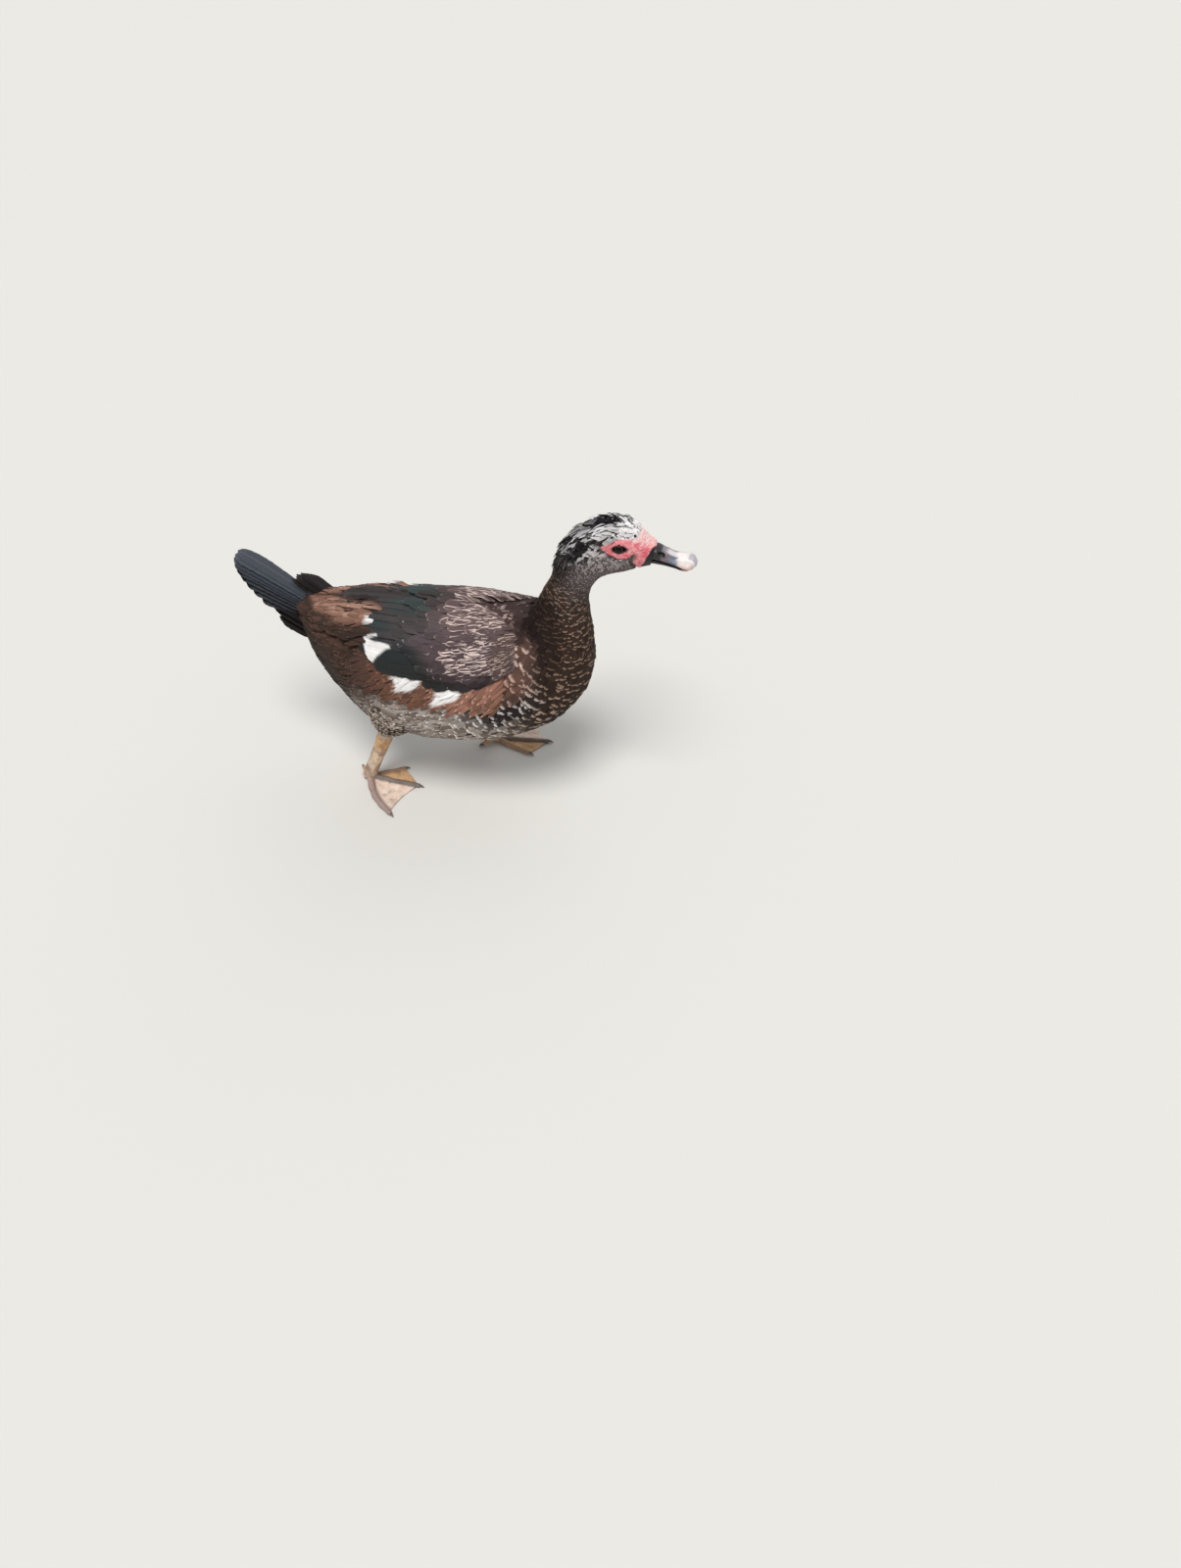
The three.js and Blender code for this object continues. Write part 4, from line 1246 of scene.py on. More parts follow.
@dataclass
class Flock:
    """Feathers that lie on one surface, one row of numbers for each.

    Attributes:
        surface: What they lie on.
        root: Station and degrees of each root.
        tip: Station and degrees of each tip.
        lift: Height above the surface at the root and from a third on, in millimetres.
        half: Half width.
        roll: Degrees that the vane leans over its shaft.
        curl: Extra height at the very tip.
    """

    surface: Surface
    root: Array
    tip: Array
    lift: Array
    half: Array
    roll: Array
    curl: Array

    @classmethod
    def laid(cls, surface: Surface, root: Array, length: Array, lie: Array, *build: Array) -> "Flock":
        """Lays a feather back from each root.

        Args:
            surface: What they lie on.
            root: Station and degrees of each root.
            length: Their lengths in millimetres.
            lie: Degrees that each turns away from the back, down its side.
            build: Their lift, half width, roll and curl.

        Returns:
            The feathers.
        """
        ahead, round_ = surface.steps(root[:, 0], root[:, 1])
        turned = np.radians(lie)
        back = length * np.cos(turned) / np.linalg.norm(ahead, axis=1)
        down = length * np.sin(turned) / np.linalg.norm(round_, axis=1) * np.sign(root[:, 1])
        return cls(surface, root, root + np.stack([-back, down], -1), *build)

    def shafts(self, places: Array) -> tuple[Array, Array, Array, Array]:
        """Follows every shaft.

        Args:
            places: Places along a feather, from 0 to 1.

        Returns:
            The shaft's points and outward directions, and the stations and degrees there.
        """
        t = places[None, :]
        u, turn = (a + (b - a) * t for a, b in zip(self.root.T[..., None], self.tip.T[..., None]))
        out = self.surface.outward(u, turn)
        rise = ease(t, -0.05, 0.6)
        low, high = self.lift.T[..., None]
        lift = low + (high - low) * rise + self.curl[:, None] * t**2.5
        return self.surface.place(u, turn) + out * lift[..., None], out, u, turn

    def grow(self, cut: Cut, look: Plumage, seed: int, by_place: bool = False) -> Shell:
        """Makes the feathers.

        Args:
            cut: How each is cut.
            look: Their markings.
            seed: What their small differences are drawn from.
            by_place: Whether a marking runs across a feather by place, rather than taking it whole.

        Returns:
            The feathers as closed tubes with their colours.
        """
        draw = np.random.default_rng(seed)
        count = len(self.root)
        places, widths = np.array(cut.places), np.array(cut.widths)
        middle, out, u, turn = self.shafts(places)
        ahead = unit(np.gradient(middle, axis=1))
        side = unit(np.cross(ahead, out))
        out = np.cross(side, ahead)
        lean = np.radians(self.roll)[:, None, None]
        side, out = side * np.cos(lean) + out * np.sin(lean), out * np.cos(lean) - side * np.sin(lean)
        across = np.linspace(-1, 1, cut.columns)
        if cut.columns > 5:
            across = np.sign(across) * np.abs(across) ** 1.25
        loop = np.concatenate([across, across[-2:0:-1]])
        face = np.concatenate([np.ones(cut.columns), -np.ones(cut.columns - 2)])
        ragged = 1 + draw.normal(0, cut.rag, (count, len(places), len(loop))) * np.abs(loop) ** 3
        width = self.half[:, None, None] * widths[None, :, None] * ragged
        rib = np.where(np.abs(loop) < 0.06, 1.35, 1.0)
        height = face * cut.thick / 2 * (1 - 0.75 * loop**2) * rib
        offset = width * loop
        depth = height - offset**2 / (2 * cut.camber)
        spread = side[:, :, None] * offset[..., None]
        tubes = middle[:, :, None] + spread + out[:, :, None] * depth[..., None]
        shape = tubes.shape[:3]
        luck = draw.random(count)
        if by_place:
            step, round_ = (s[:, :, None] for s in self.surface.steps(u, turn))
            seen_u = u[..., None] + (spread * step).sum(-1) / (step * step).sum(-1)
            seen_turn = turn[..., None] + (spread * round_).sum(-1) / (round_ * round_).sum(-1)
            marks = look.read(seen_u, seen_turn, tubes, np.broadcast_to(luck[:, None, None], shape))
        else:
            whole = look.read(u[:, -2], turn[:, -2], middle[:, -2], luck)
            marks = {key: np.broadcast_to(v[:, None, None], (*shape, 3)) for key, v in whole.items()}
        tone = draw.normal(1, 0.1, count)[:, None, None, None]
        fields = {key: np.clip(marks[key] * tone, 0, 1) for key in ("base_colour", "edge_colour")}
        fields["marks"] = marks["marks"]
        along = np.broadcast_to(places[None, :, None], shape)
        lane = [along, np.broadcast_to(loop, shape), np.broadcast_to(luck[:, None, None], shape)]
        fields["lane"] = np.stack(lane, -1)
        corner = self.surface.unwrap(self.root[:, 0], self.root[:, 1])[:, None, None]
        patch = np.stack([along - 0.5, np.broadcast_to(loop / 2, shape)], -1) * 0.003
        return Shell(tubes, fields, np.clip(corner + patch, 0.0005, 0.9995))


@dataclass(frozen=True)
class CoatSizes:
    """How the coat changes along the bird, read at stations.

    Attributes:
        at: The stations.
        gap: Distance between feathers along and across, in millimetres.
        length: Feather length.
        half: Half width.
        lift: Height of the tips over the skin.
        depth: How far the skin lies under the coat's outside.
    """

    at: tuple[float, ...] = (0, 1, 3, 5, 5.8, 7, 8.5, 10, 12, 13.5, 15, 16.5, 18.5)
    gap: tuple[float, ...] = (5.0, 5.0, 5.2, 5.4, 7.4, 7.8, 7.2, 5.2, 4.0, 3.2, 2.6, 2.3, 2.0)
    length: tuple[float, ...] = (30, 32, 32, 30, 27, 24, 22, 16, 12, 9.5, 7.5, 6, 4.2)
    half: tuple[float, ...] = (3.0, 3.1, 3.2, 3.4, 6.2, 6.8, 6.2, 4.4, 3.2, 2.5, 2.0, 1.7, 1.35)
    lift: tuple[float, ...] = (3.8, 3.8, 3.8, 3.8, 3.8, 3.8, 3.6, 3.0, 2.4, 2.0, 1.6, 1.3, 0.9)
    depth: tuple[float, ...] = (4, 4, 4, 4, 4, 4, 3.6, 3.0, 2.5, 2.0, 1.6, 1.3, 1.0)

    def read(self, name: str, u: Array) -> Array:
        """One of the sizes at stations."""
        return np.interp(u, self.at, getattr(self, name))


COAT_SIZES = CoatSizes()
MASK_OUTLINE = np.array(
    [
        (201, 413.5), (211, 420.5), (220, 424), (233, 423.5), (239, 422.5), (243, 425), (245, 442),
        (253, 442), (270, 424), (270, 378), (243, 378), (242, 386), (240, 393), (237, 400),
        (238, 405.5), (235, 404.5), (230, 401.5), (222, 401.5), (214, 404.5), (207, 409),
    ]
)


def bareness(points: Array) -> Array:
    """How bare the face is at places, from 0 in the feathers to 1 on the naked skin."""
    flat = points[..., [0, 2]]
    depth = depth_inside(flat, MASK_OUTLINE) + GRAIN.smooth(points, 3.0) * 1.5
    return ease(depth, -0.6, 1.0)


@dataclass(frozen=True)
class WingEdge:
    """Where the folded wing starts and ends round the body, at one station."""

    station: float
    top: float
    bottom: float


WING_EDGES = (
    WingEdge(1.8, 12, 40),
    WingEdge(2.3, 6, 50),
    WingEdge(3, 3, 58),
    WingEdge(4, 2, 61),
    WingEdge(5, 2, 61),
    WingEdge(6, 10, 60),
    WingEdge(6.7, 26, 56),
)


def wing_edge(name: str, u: Array | float) -> Array:
    """The degrees of the wing's top or bottom edge at stations."""
    return np.interp(u, [edge.station for edge in WING_EDGES], [getattr(edge, name) for edge in WING_EDGES])


def wing_depth(u: Array, degrees: Array) -> Array:
    """How deep a place lies under the folded wing, in degrees from its edge, below 0 outside."""
    around = np.abs(degrees)
    ends = np.minimum(u - WING_EDGES[0].station, WING_EDGES[-1].station - u) * 35
    return np.minimum(np.minimum(around - wing_edge("top", u), wing_edge("bottom", u) - around), ends)


def wing_swell(u: Array, degrees: Array) -> Array:
    """How far the folded wing's flesh lifts what lies on it, in millimetres."""
    full = np.interp(u, [1.8, 3, 5, 6.2, 6.9], [0.5, 2.0, 5.5, 6.0, 2.0])
    return full * ease(wing_depth(u, degrees), -3, 9)


@dataclass
class Coat:
    """The small feathers of the body, neck and head.

    Attributes:
        sizes: How the feathers change along the bird.
        first: The rearmost station with feathers.
        last: The foremost.
        covered: The stations between which the wings hide the body.
        overlap: Degrees by which the coat runs in under a wing's edge.
    """

    sizes: CoatSizes = COAT_SIZES
    first: float = -0.1
    last: float = 18.75
    covered: Pair = (2.4, 6.3)
    overlap: float = 12.0
    seed: int = 3
    finish: FeatherFinish = FeatherFinish("body_feathers")

    def roots(self) -> Array:
        """Scatters roots over the body in staggered rows, from the rump to the bill."""
        draw = np.random.default_rng(self.seed)
        rows = []
        u = self.first
        odd = False
        around = np.linspace(-180, 180, 73)
        while u < self.last:
            here = BIRD.place(np.full_like(around, u), around)
            girth = np.linalg.norm(np.diff(here, axis=0), axis=1).sum()
            gap = float(self.sizes.read("gap", np.array(u)))
            count = max(int(girth / gap), 8)
            turn = (np.arange(count) + (0.5 if odd else 0.0)) * 360 / count - 180
            wobble = draw.normal(0, 1, (count, 2)) * float(np.interp(u, [5.2, 6], [0.3, 0.08]))
            step = gap * 0.8 / float(np.linalg.norm(BIRD.steps(np.array(u), np.array(90.0))[0]))
            rows.append(np.stack([np.full(count, u), turn], -1) + wobble * [step, 360 / count])
            u += step
            odd = not odd
        return np.concatenate(rows)

    def keep(self, root: Array) -> Array:
        """Whether a feather is wanted: not on bare skin, nor far under the wings."""
        u, turn = root.T
        place = BIRD.place(u, turn)
        low, high = self.covered
        covered = (wing_depth(u, turn) > self.overlap) & (u > low) & (u < high)
        bare = bareness(place)
        lucky = np.random.default_rng(self.seed + 9).random(len(root)) < 0.3
        stray = (bare < 0.98) & (place[:, 2] > 414) & lucky
        return ((bare < 0.35) | stray) & ~covered

    def lay(self, root: Array) -> Flock:
        """Lays a feather back from each root, turned down a little on the flanks.

        Args:
            root: Station and degrees of each root.

        Returns:
            The feathers.
        """
        draw = np.random.default_rng(self.seed + 1)
        count = len(root)
        u, turn = root.T
        length = self.sizes.read("length", u) * draw.normal(1, 0.1, count)
        hang = np.sin(np.radians(np.abs(turn))) * np.interp(u, [0, 3, 5, 6, 9], [34, 32, 22, 12, 0])
        depth = self.sizes.read("depth", u)
        swell = wing_swell(u - length / 90, turn)
        high = self.sizes.read("lift", u) * draw.normal(1, 0.1, count) + 0.4 + swell
        curl = draw.normal(0.1, 0.5, count) * self.sizes.read("lift", u) / 3.6
        return Flock.laid(
            BIRD,
            root,
            length,
            hang + draw.normal(0, 7, count),
            np.stack([-depth - 0.6, -depth + high], -1),
            self.sizes.read("half", u) * draw.normal(1, 0.08, count),
            draw.normal(0, 7, count),
            curl,
        )

    def build(self) -> list[Piece]:
        """Makes the coat's pieces."""
        root = self.roots()
        root = root[self.keep(root)]
        shells = []
        for low, high, cut in ((-1, 5.5, HAIR_CUT), (5.5, 13.2, BODY_CUT), (13.2, 20, DOWN_CUT)):
            chosen = (root[:, 0] >= low) & (root[:, 0] < high)
            shells.append(self.lay(root[chosen]).grow(cut, COAT_LOOK, self.seed + len(shells)))
        return dress_shares("coat", shells, self.finish.make())


def dress_shares(name: str, shells: Sequence[Shell], material: Material) -> list[Piece]:
    """Makes numbered pieces of feathers, none with too many triangles."""
    return [make_shells(f"{name}_{i + 1}", share, material) for i, share in enumerate(split_shells(shells))]


@dataclass
class Crest:
    """The ruffled feathers over the crown and down the nape."""

    rows: int = 24
    first: float = 13.4
    last: float = 17.7
    seed: int = 5
    finish: FeatherFinish = FeatherFinish("crest_feathers", 18.0, 0.75, 0.12)

    def build(self) -> list[Piece]:
        """Makes the crest."""
        draw = np.random.default_rng(self.seed)
        at = [13, 14.5, 16, 17.5]
        rows = []
        for u in np.linspace(self.first, self.last, self.rows):
            spread = np.interp(u, at, [62, 64, 46, 30])
            count = int(spread / 3.6)
            turn = np.linspace(-spread, spread, count)
            rows.append(np.stack([np.full(count, u), turn], -1) + draw.normal(0, 1, (count, 2)) * [0.05, 3.0])
        root = np.concatenate(rows)
        root = root[bareness(BIRD.place(root[:, 0], root[:, 1])) < 0.2]
        count = len(root)
        u = root[:, 0]
        top = np.cos(np.radians(root[:, 1]))
        lift = np.interp(u, at, [1.2, 2.6, 3.6, 4.2]) * draw.normal(1, 0.25, count) * (0.4 + 0.6 * top)
        flock = Flock.laid(
            BIRD,
            root,
            np.interp(u, at, [14, 19, 18, 10]) * draw.normal(1, 0.18, count),
            draw.normal(4, 16, count),
            np.stack([np.full(count, -2.0), lift], -1),
            draw.normal(1.8, 0.3, count),
            draw.normal(0, 18, count),
            draw.normal(0.8, 1.0, count) * top,
        )
        return dress_shares("crest", [flock.grow(CREST_CUT, COAT_LOOK, 31)], self.finish.make())


@dataclass
class Fringe:
    """Loose feathers that lie over the edge of a folded wing, on one side of the bird.

    Attributes:
        look: Their markings.
        stations: From the rear row to the front row.
        angles: Degrees of the upper and of the lower roots.
        gap: Distance between feathers in millimetres.
        length: Feather length.
        half: Half width.
        lie: Degrees that they turn down from the back.
        lift: Height of the tips over the body in the rear row and in the front row.
    """

    side: Side
    name: str
    look: Plumage
    stations: Pair
    angles: Pair
    gap: float = 5.2
    length: float = 28.0
    half: float = 3.6
    lie: float = 36.0
    lift: Pair = (3.5, 4.5)
    seed: int = 90

    def build(self) -> list[Piece]:
        """Makes the feathers."""
        draw = np.random.default_rng(self.seed)
        first, last = self.stations
        across = np.arange(*self.angles, self.gap / DEGREE_SIZE)
        along = np.arange(first, last, self.gap / 42)
        u, turn = (grid.ravel() for grid in np.meshgrid(along, across, indexing="ij"))
        count = len(u)
        share = (u - first) / (last - first)
        turn = turn * self.side.value
        root = np.stack([u, turn], -1) + draw.normal(0, 1, (count, 2)) * [0.04, 1.2]
        high = np.interp(share, [0, 1], self.lift) * draw.normal(1, 0.15, count)
        flock = Flock.laid(
            BIRD,
            root,
            self.length * draw.normal(1, 0.14, count),
            self.lie + draw.normal(0, 7, count),
            np.stack([high * 0.7 - 3, high], -1),
            self.half * draw.normal(1, 0.12, count),
            draw.normal(0, 10, count),
            draw.normal(0.1, 0.7, count),
        )
        finish = FeatherFinish(self.name, 20.0, 0.8, 0.16)
        shells = [flock.grow(HAIR_CUT, self.look, self.seed + 1, by_place=True)]
        return dress_shares(f"{self.name}_{self.side.word}", shells, finish.make())


@dataclass(frozen=True)
class Tier:
    """A row of wing feathers from its lowest to its highest, each as root, tip, lift and half width.

    Attributes:
        count: How many feathers it has.
        roots: Station and degrees of the first and of the last root.
        tips: Station and degrees of the first and of the last tip.
        lift: Height at the root and beyond it.
        half: Half width.
        roll: How the feathers lean over one another.
        rings: How many rings each has.
        reaches: Whether the left wing's reach further back.
    """

    count: int
    roots: tuple[Pair, Pair]
    tips: tuple[Pair, Pair]
    lift: Pair
    half: float
    roll: float = 8.0
    rings: int = 36
    reaches: bool = False


TIERS = (
    Tier(7, ((3.3, 47), (2.9, 29)), ((1.85, 38), (1.4, 21)), (1.2, 3.0), 7.5, 8, 30, True),
    Tier(10, ((5.3, 57), (4.1, 37)), ((3.05, 58), (2.1, 37)), (1.2, 5.2), 8.6, 8, 44),
    Tier(6, ((4.6, 33), (4.5, 6)), ((2.15, 34), (1.6, 3)), (3, 7.4), 8.8, 6, 40),
    Tier(10, ((5.9, 56), (5.1, 37)), ((4.3, 58), (3.35, 37)), (2.5, 7.4), 8.0, 8, 30),
)
LEFT_REACH = 0.9


@dataclass(frozen=True)
class CovertTract:
    """Small wing coverts in staggered rows over the wing's shoulder.

    Attributes:
        stations: From the rear row's station to the front row's.
        angles: Degrees from the back of the upper and of the lower end of the rows.
        rows: How many rows there are.
        length: Feather length in the rear row and in the front row.
        half: Half width in the rear row and in the front row.
        lift: Height of the tips over the body in the rear row, the middle and the front row.
    """

    stations: Pair
    angles: Pair
    rows: int
    length: Pair
    half: Pair
    lift: tuple[float, float, float]


TRACTS = (
    CovertTract((4.85, 6.75), (33, 60), 14, (34, 15), (6.2, 4.2), (8.4, 10.6, 5.5)),
    CovertTract((4.1, 6.7), (2, 37), 15, (40, 15), (7.4, 4.4), (9.8, 12.0, 5.5)),
)


@dataclass
class Wing:
    """One folded wing: a pad that hugs the body, and its feathers in tiers.

    Attributes:
        pad_top: Height of the pad's face under the feathers.
        pad_floor: Height of its hidden face, inside the body.
    """

    side: Side
    pad_top: float = -1.5
    pad_floor: float = -4.5
    seed: int = 40
    finish: FeatherFinish = FeatherFinish(
        "wing_feathers", 60.0, 0.62, 0.3, flecks=(1.5, 2.8), shine=0.2, edges=0.62
    )

    def pad(self, skin: Material) -> Piece:
        """Makes the flesh and down under the feathers as one thin closed cushion.

        Args:
            skin: Its finish.

        Returns:
            The cushion.
        """
        rows, columns = 40, 28
        t = np.linspace(0, len(WING_EDGES) - 1, rows)
        table = np.array([[e.station, e.top, e.bottom] for e in WING_EDGES], float)
        station, top, bottom = np.moveaxis(read_along(table, t), -1, 0)
        s = np.linspace(0, 1, columns)
        u = np.broadcast_to(station[:, None], (rows, columns))
        turn = (top[:, None] + (bottom - top)[:, None] * s) * self.side.value
        upper = BIRD.raised(u, turn, wing_swell(u, turn) + self.pad_top)
        lower = BIRD.raised(u, turn, np.full((rows, columns), self.pad_floor))
        ring = np.concatenate([upper, lower[:, ::-1]], axis=1)
        if self.side is Side.RIGHT:
            ring = ring[:, ::-1]
        # Painted shade: the pad takes the wing's colours darkened to 0.6, as the shade under its feathers.
        look = WING_LOOK.read(u, turn, upper, np.full(u.shape, 0.5))["base_colour"] * 0.6
        colour = np.concatenate([look, look[:, ::-1]], axis=1)
        flat = BIRD.unwrap(u, turn)
        flat = np.concatenate([flat, flat[:, ::-1]], axis=1)
        shell = one_tube(ring, flat, base_colour=colour, bare=np.zeros(ring.shape[:2]))
        return make_shells(f"wing_pad_{self.side.word}", [shell], skin)

    def row(self, tier: Tier, seed: int) -> Shell:
        """Makes one tier of long feathers.

        Args:
            tier: The tier's sizes.
            seed: What its small differences are drawn from.

        Returns:
            The feathers as closed tubes.
        """
        draw = np.random.default_rng(seed)
        t = np.linspace(0, 1, tier.count)[:, None]
        root, tip = between(tier.roots, t), between(tier.tips, t)
        if tier.reaches and self.side is Side.LEFT:
            tip = tip - [LEFT_REACH, 0]
        tip = tip + draw.normal(0, 1, tip.shape) * [0.04, 0.6]
        mirror = np.array([1, self.side.value])
        count = tier.count
        rise = np.linspace(0, 0.7 if self.side is Side.RIGHT else -0.3, count)
        flock = Flock(
            BIRD,
            root * mirror,
            tip * mirror,
            np.array(tier.lift) + np.stack([rise * 0, rise], -1),
            np.full(count, tier.half) * draw.normal(1, 0.03, count),
            np.full(count, tier.roll * self.side.value),
            draw.normal(-0.2, 0.3, count),
        )
        return flock.grow(long_cut(tier.rings, 13), LONG_WING_LOOK, seed + 1, by_place=True)

    def coverts(self, tract: CovertTract, seed: int) -> Shell:
        """Makes the small coverts of one tract.

        Args:
            tract: The tract's sizes.
            seed: What its small differences are drawn from.

        Returns:
            The feathers as closed tubes.
        """
        draw = np.random.default_rng(seed)
        roots, sizes = [], []
        for i in range(tract.rows):
            t = i / (tract.rows - 1)
            u = float(between(tract.stations, t))
            high = max(tract.angles[0], float(wing_edge("top", u)) + 1)
            low = min(tract.angles[1], float(wing_edge("bottom", u)) - 1)
            half = float(between(tract.half, t))
            count = max(int((low - high) * 1.5 / (half * 0.95)), 2)
            turn = np.linspace(low, high, count) + (i % 2 - 0.5) * (high - low) / count * 0.5
            roots.append(np.stack([np.full(count, u), turn], -1))
            sizes.append(np.full(count, t))
        root, t = np.concatenate(roots), np.concatenate(sizes)
        count = len(root)
        root = root + draw.normal(0, 1, root.shape) * [0.03, 0.8]
        high = np.interp(t, [0, 0.55, 1], tract.lift)
        edge = np.minimum(root[:, 1] - tract.angles[0] + 12, tract.angles[1] + 6 - root[:, 1])
        high = high * np.interp(edge, [2, 14], [0.72, 1])
        lie = np.interp(root[:, 1], [10, 50, 80], [2, 10, 18]) + draw.normal(0, 5, count)
        flock = Flock.laid(
            BIRD,
            root * [1, self.side.value],
            np.interp(t, [0, 1], tract.length) * draw.normal(1, 0.08, count),
            lie,
            np.stack([high * 0.45 - 1, high], -1),
            np.interp(t, [0, 1], tract.half) * draw.normal(1, 0.06, count),
            draw.normal(2.5, 4, count) * self.side.value,
            draw.normal(-0.4, 0.4, count),
        )
        return flock.grow(long_cut(11, 7, 0.72, 0.55, 45.0), WING_LOOK, seed + 1)

    def build(self, skin: Material) -> list[Piece]:
        """Makes the pad and the feathers."""
        seed = self.seed + self.side.value
        shells = [self.row(tier, seed + 10 * i) for i, tier in enumerate(TIERS)]
        shells += [self.coverts(tract, seed + 100 + 10 * i) for i, tract in enumerate(TRACTS)]
        pad = self.pad(skin)
        return [pad, *dress_shares(f"wing_feathers_{self.side.word}", shells, self.finish.make())]


@dataclass
class Tail:
    """The fan of tail feathers with its coverts above and below.

    Attributes:
        pairs: Flight feathers on each side.
        length: The length of the middle ones.
        raised: How far the tail is raised, in degrees.
        fan: How far the outermost spread, in degrees.
        tent: How much lower the outermost lie.
        lean: Degrees that the outermost lean outward.
        root: Where the tail springs from.
        half: Half width of a feather.
    """

    pairs: int = 8
    length: float = 117.0
    raised: float = 32.0
    fan: float = 8.0
    tent: float = 8.0
    lean: float = 12.0
    root: tuple[float, float, float] = (-174.0, 0.0, 258.0)
    half: float = 12.0
    # Its edge colour, reaching all up the sides, carries the painted shadow along each feather's edges.
    finish: FeatherFinish = FeatherFinish("tail_feathers", 70.0, 0.6, 0.8, 0x625E69, shine=0.3, edges=1.0)
    covert_finish: FeatherFinish = FeatherFinish("tail_coverts", 20.0)

    def vanes(self, table: Array, cut: Cut, look: Plumage, seed: int) -> Shell:
        """Makes feathers that spring from the tail's root.

        Args:
            table: One row for each: spread in degrees, length, drop, shift across, half width, start, lean.
            cut: How each is cut.
            look: Their markings.
            seed: What their small differences are drawn from.

        Returns:
            The feathers as closed tubes.
        """
        lines = TailFrame(np.array(self.root), math.radians(self.raised), self.length, table)
        number = np.arange(len(table))
        level = np.zeros(len(table))
        root, tip = np.stack([level, number], -1), np.stack([level + 1, number], -1)
        flock = Flock(lines, root, tip, np.zeros((len(table), 2)), table[:, 4], table[:, 6], level)
        return flock.grow(cut, look, seed)

    def build(self) -> list[Piece]:
        """Makes the flight feathers and the coverts."""
        rows = []
        for i in range(self.pairs):
            out = i / (self.pairs - 1)
            for side in Side:
                layer = i * 2 + (side is Side.RIGHT) if i < 2 else i + 2
                rows.append(
                    [
                        side.value * (1 + self.fan * out),
                        self.length * (1 - 0.45 * out**2),
                        layer * 1.25 + self.tent * out**2,
                        side.value * (1.5 + 1.7 * i),
                        self.half,
                        0,
                        -side.value * self.lean * out,
                    ]
                )
        vanes = self.vanes(np.array(rows), long_cut(36, 13, 0.86, 0.9, 200), TAIL_LOOK, 61)
        fan = make_shells("tail_fan", [vanes], self.finish.make())
        draw = np.random.default_rng(63)
        coverts = []
        for _ in range(26):
            near = [draw.uniform(-14, 6), draw.normal(15, 1.5), draw.uniform(-5, -3)]
            coverts.append([*near, draw.uniform(-8, 8), 5.0, draw.uniform(-22, -12), draw.normal(0, 5)])
        for _ in range(46):
            far = draw.random()
            drop = -3 - 11 * math.sin(math.pi * far)
            hump = [draw.uniform(-4, 4), (42 - 26 * far) * draw.normal(1, 0.05), drop]
            coverts.append([*hump, 5 + 25 * far, 5.5, draw.uniform(-26, -14), draw.normal(0, 5)])
        for _ in range(90):
            low = draw.random()
            across = draw.uniform(-27, 20)
            under = [across * 0.15, (66 - 36 * low) * draw.normal(1, 0.06), 13 + 21 * low]
            shift = across * (0.6 + 0.4 * low)
            coverts.append([*under, shift, 7.0, draw.uniform(-24, -12), draw.normal(0, 5)])
        vanes = self.vanes(np.array(coverts), long_cut(12, 7, 0.7, 0.55, 60), COVERT_LOOK, 64)
        return [fan, make_shells("tail_coverts", [vanes], self.covert_finish.make())]


@dataclass
class TailFrame(Surface):
    """The lines along which the tail's feathers lie: u runs along a feather and degrees picks it.

    Attributes:
        origin: The tail's root.
        rise: How far the tail is raised, in radians.
        whole: The length over which the feathers arch.
        table: One row of sizes for each feather.
    """

    origin: Array
    rise: float
    whole: float
    table: Array

    def _directions(self) -> tuple[Array, Array]:
        """The tail's middle line and its upward direction."""
        middle = np.array([-math.cos(self.rise), 0, math.sin(self.rise)])
        return middle, np.array([math.sin(self.rise), 0, math.cos(self.rise)])

    def place(self, u: Array, degrees: Array) -> Array:
        """The shaft's point on a feather.

        Args:
            u: Shares of the feather's length.
            degrees: The feather's number.

        Returns:
            The points in millimetres.
        """
        middle, up = self._directions()
        row = self.table[np.clip(np.rint(degrees).astype(int), 0, len(self.table) - 1)]
        spread, length, drop, across, start = (row[..., k] for k in (0, 1, 2, 3, 5))
        a = np.radians(spread)[..., None]
        ahead = middle * np.cos(a) + np.array([0.0, 1.0, 0.0]) * np.sin(a)
        reach = (start + (length - start) * u)[..., None]
        arch = 12 * reach * (self.whole - reach) / self.whole**2
        root = self.origin + across[..., None] * np.array([0.0, 1.0, 0.0]) - drop[..., None] * up
        return root + ahead * reach + up * arch

    def outward(self, u: Array, degrees: Array) -> Array:
        """The fan's upward direction."""
        return np.broadcast_to(self._directions()[1], (*np.shape(u), 3))

    def unwrap(self, u: Array, degrees: Array) -> Array:
        """A place of its own for each feather's root on the flat map."""
        wide = int(math.ceil(math.sqrt(len(self.table))))
        i = np.rint(degrees).astype(int)
        return np.stack([(i % wide + 0.5) / wide, (i // wide + 0.5) / wide], -1)


# Flesh


@dataclass(frozen=True)
class Knob:
    """A knob of the bare skin: where it is and how big."""

    station: float
    degrees: float
    radius: float


KNOBS = (
    Knob(18.6, 14, 3.0),
    Knob(18.5, 44, 2.5),
    Knob(18.6, 84, 2.4),
    Knob(18.6, 122, 2.4),
    Knob(17.8, 50, 2.2),
    Knob(17.1, 48, 1.9),
    Knob(16.2, 52, 1.9),
    Knob(15.9, 76, 1.9),
    Knob(16.6, 93, 2.0),
    Knob(17.5, 98, 2.2),
)


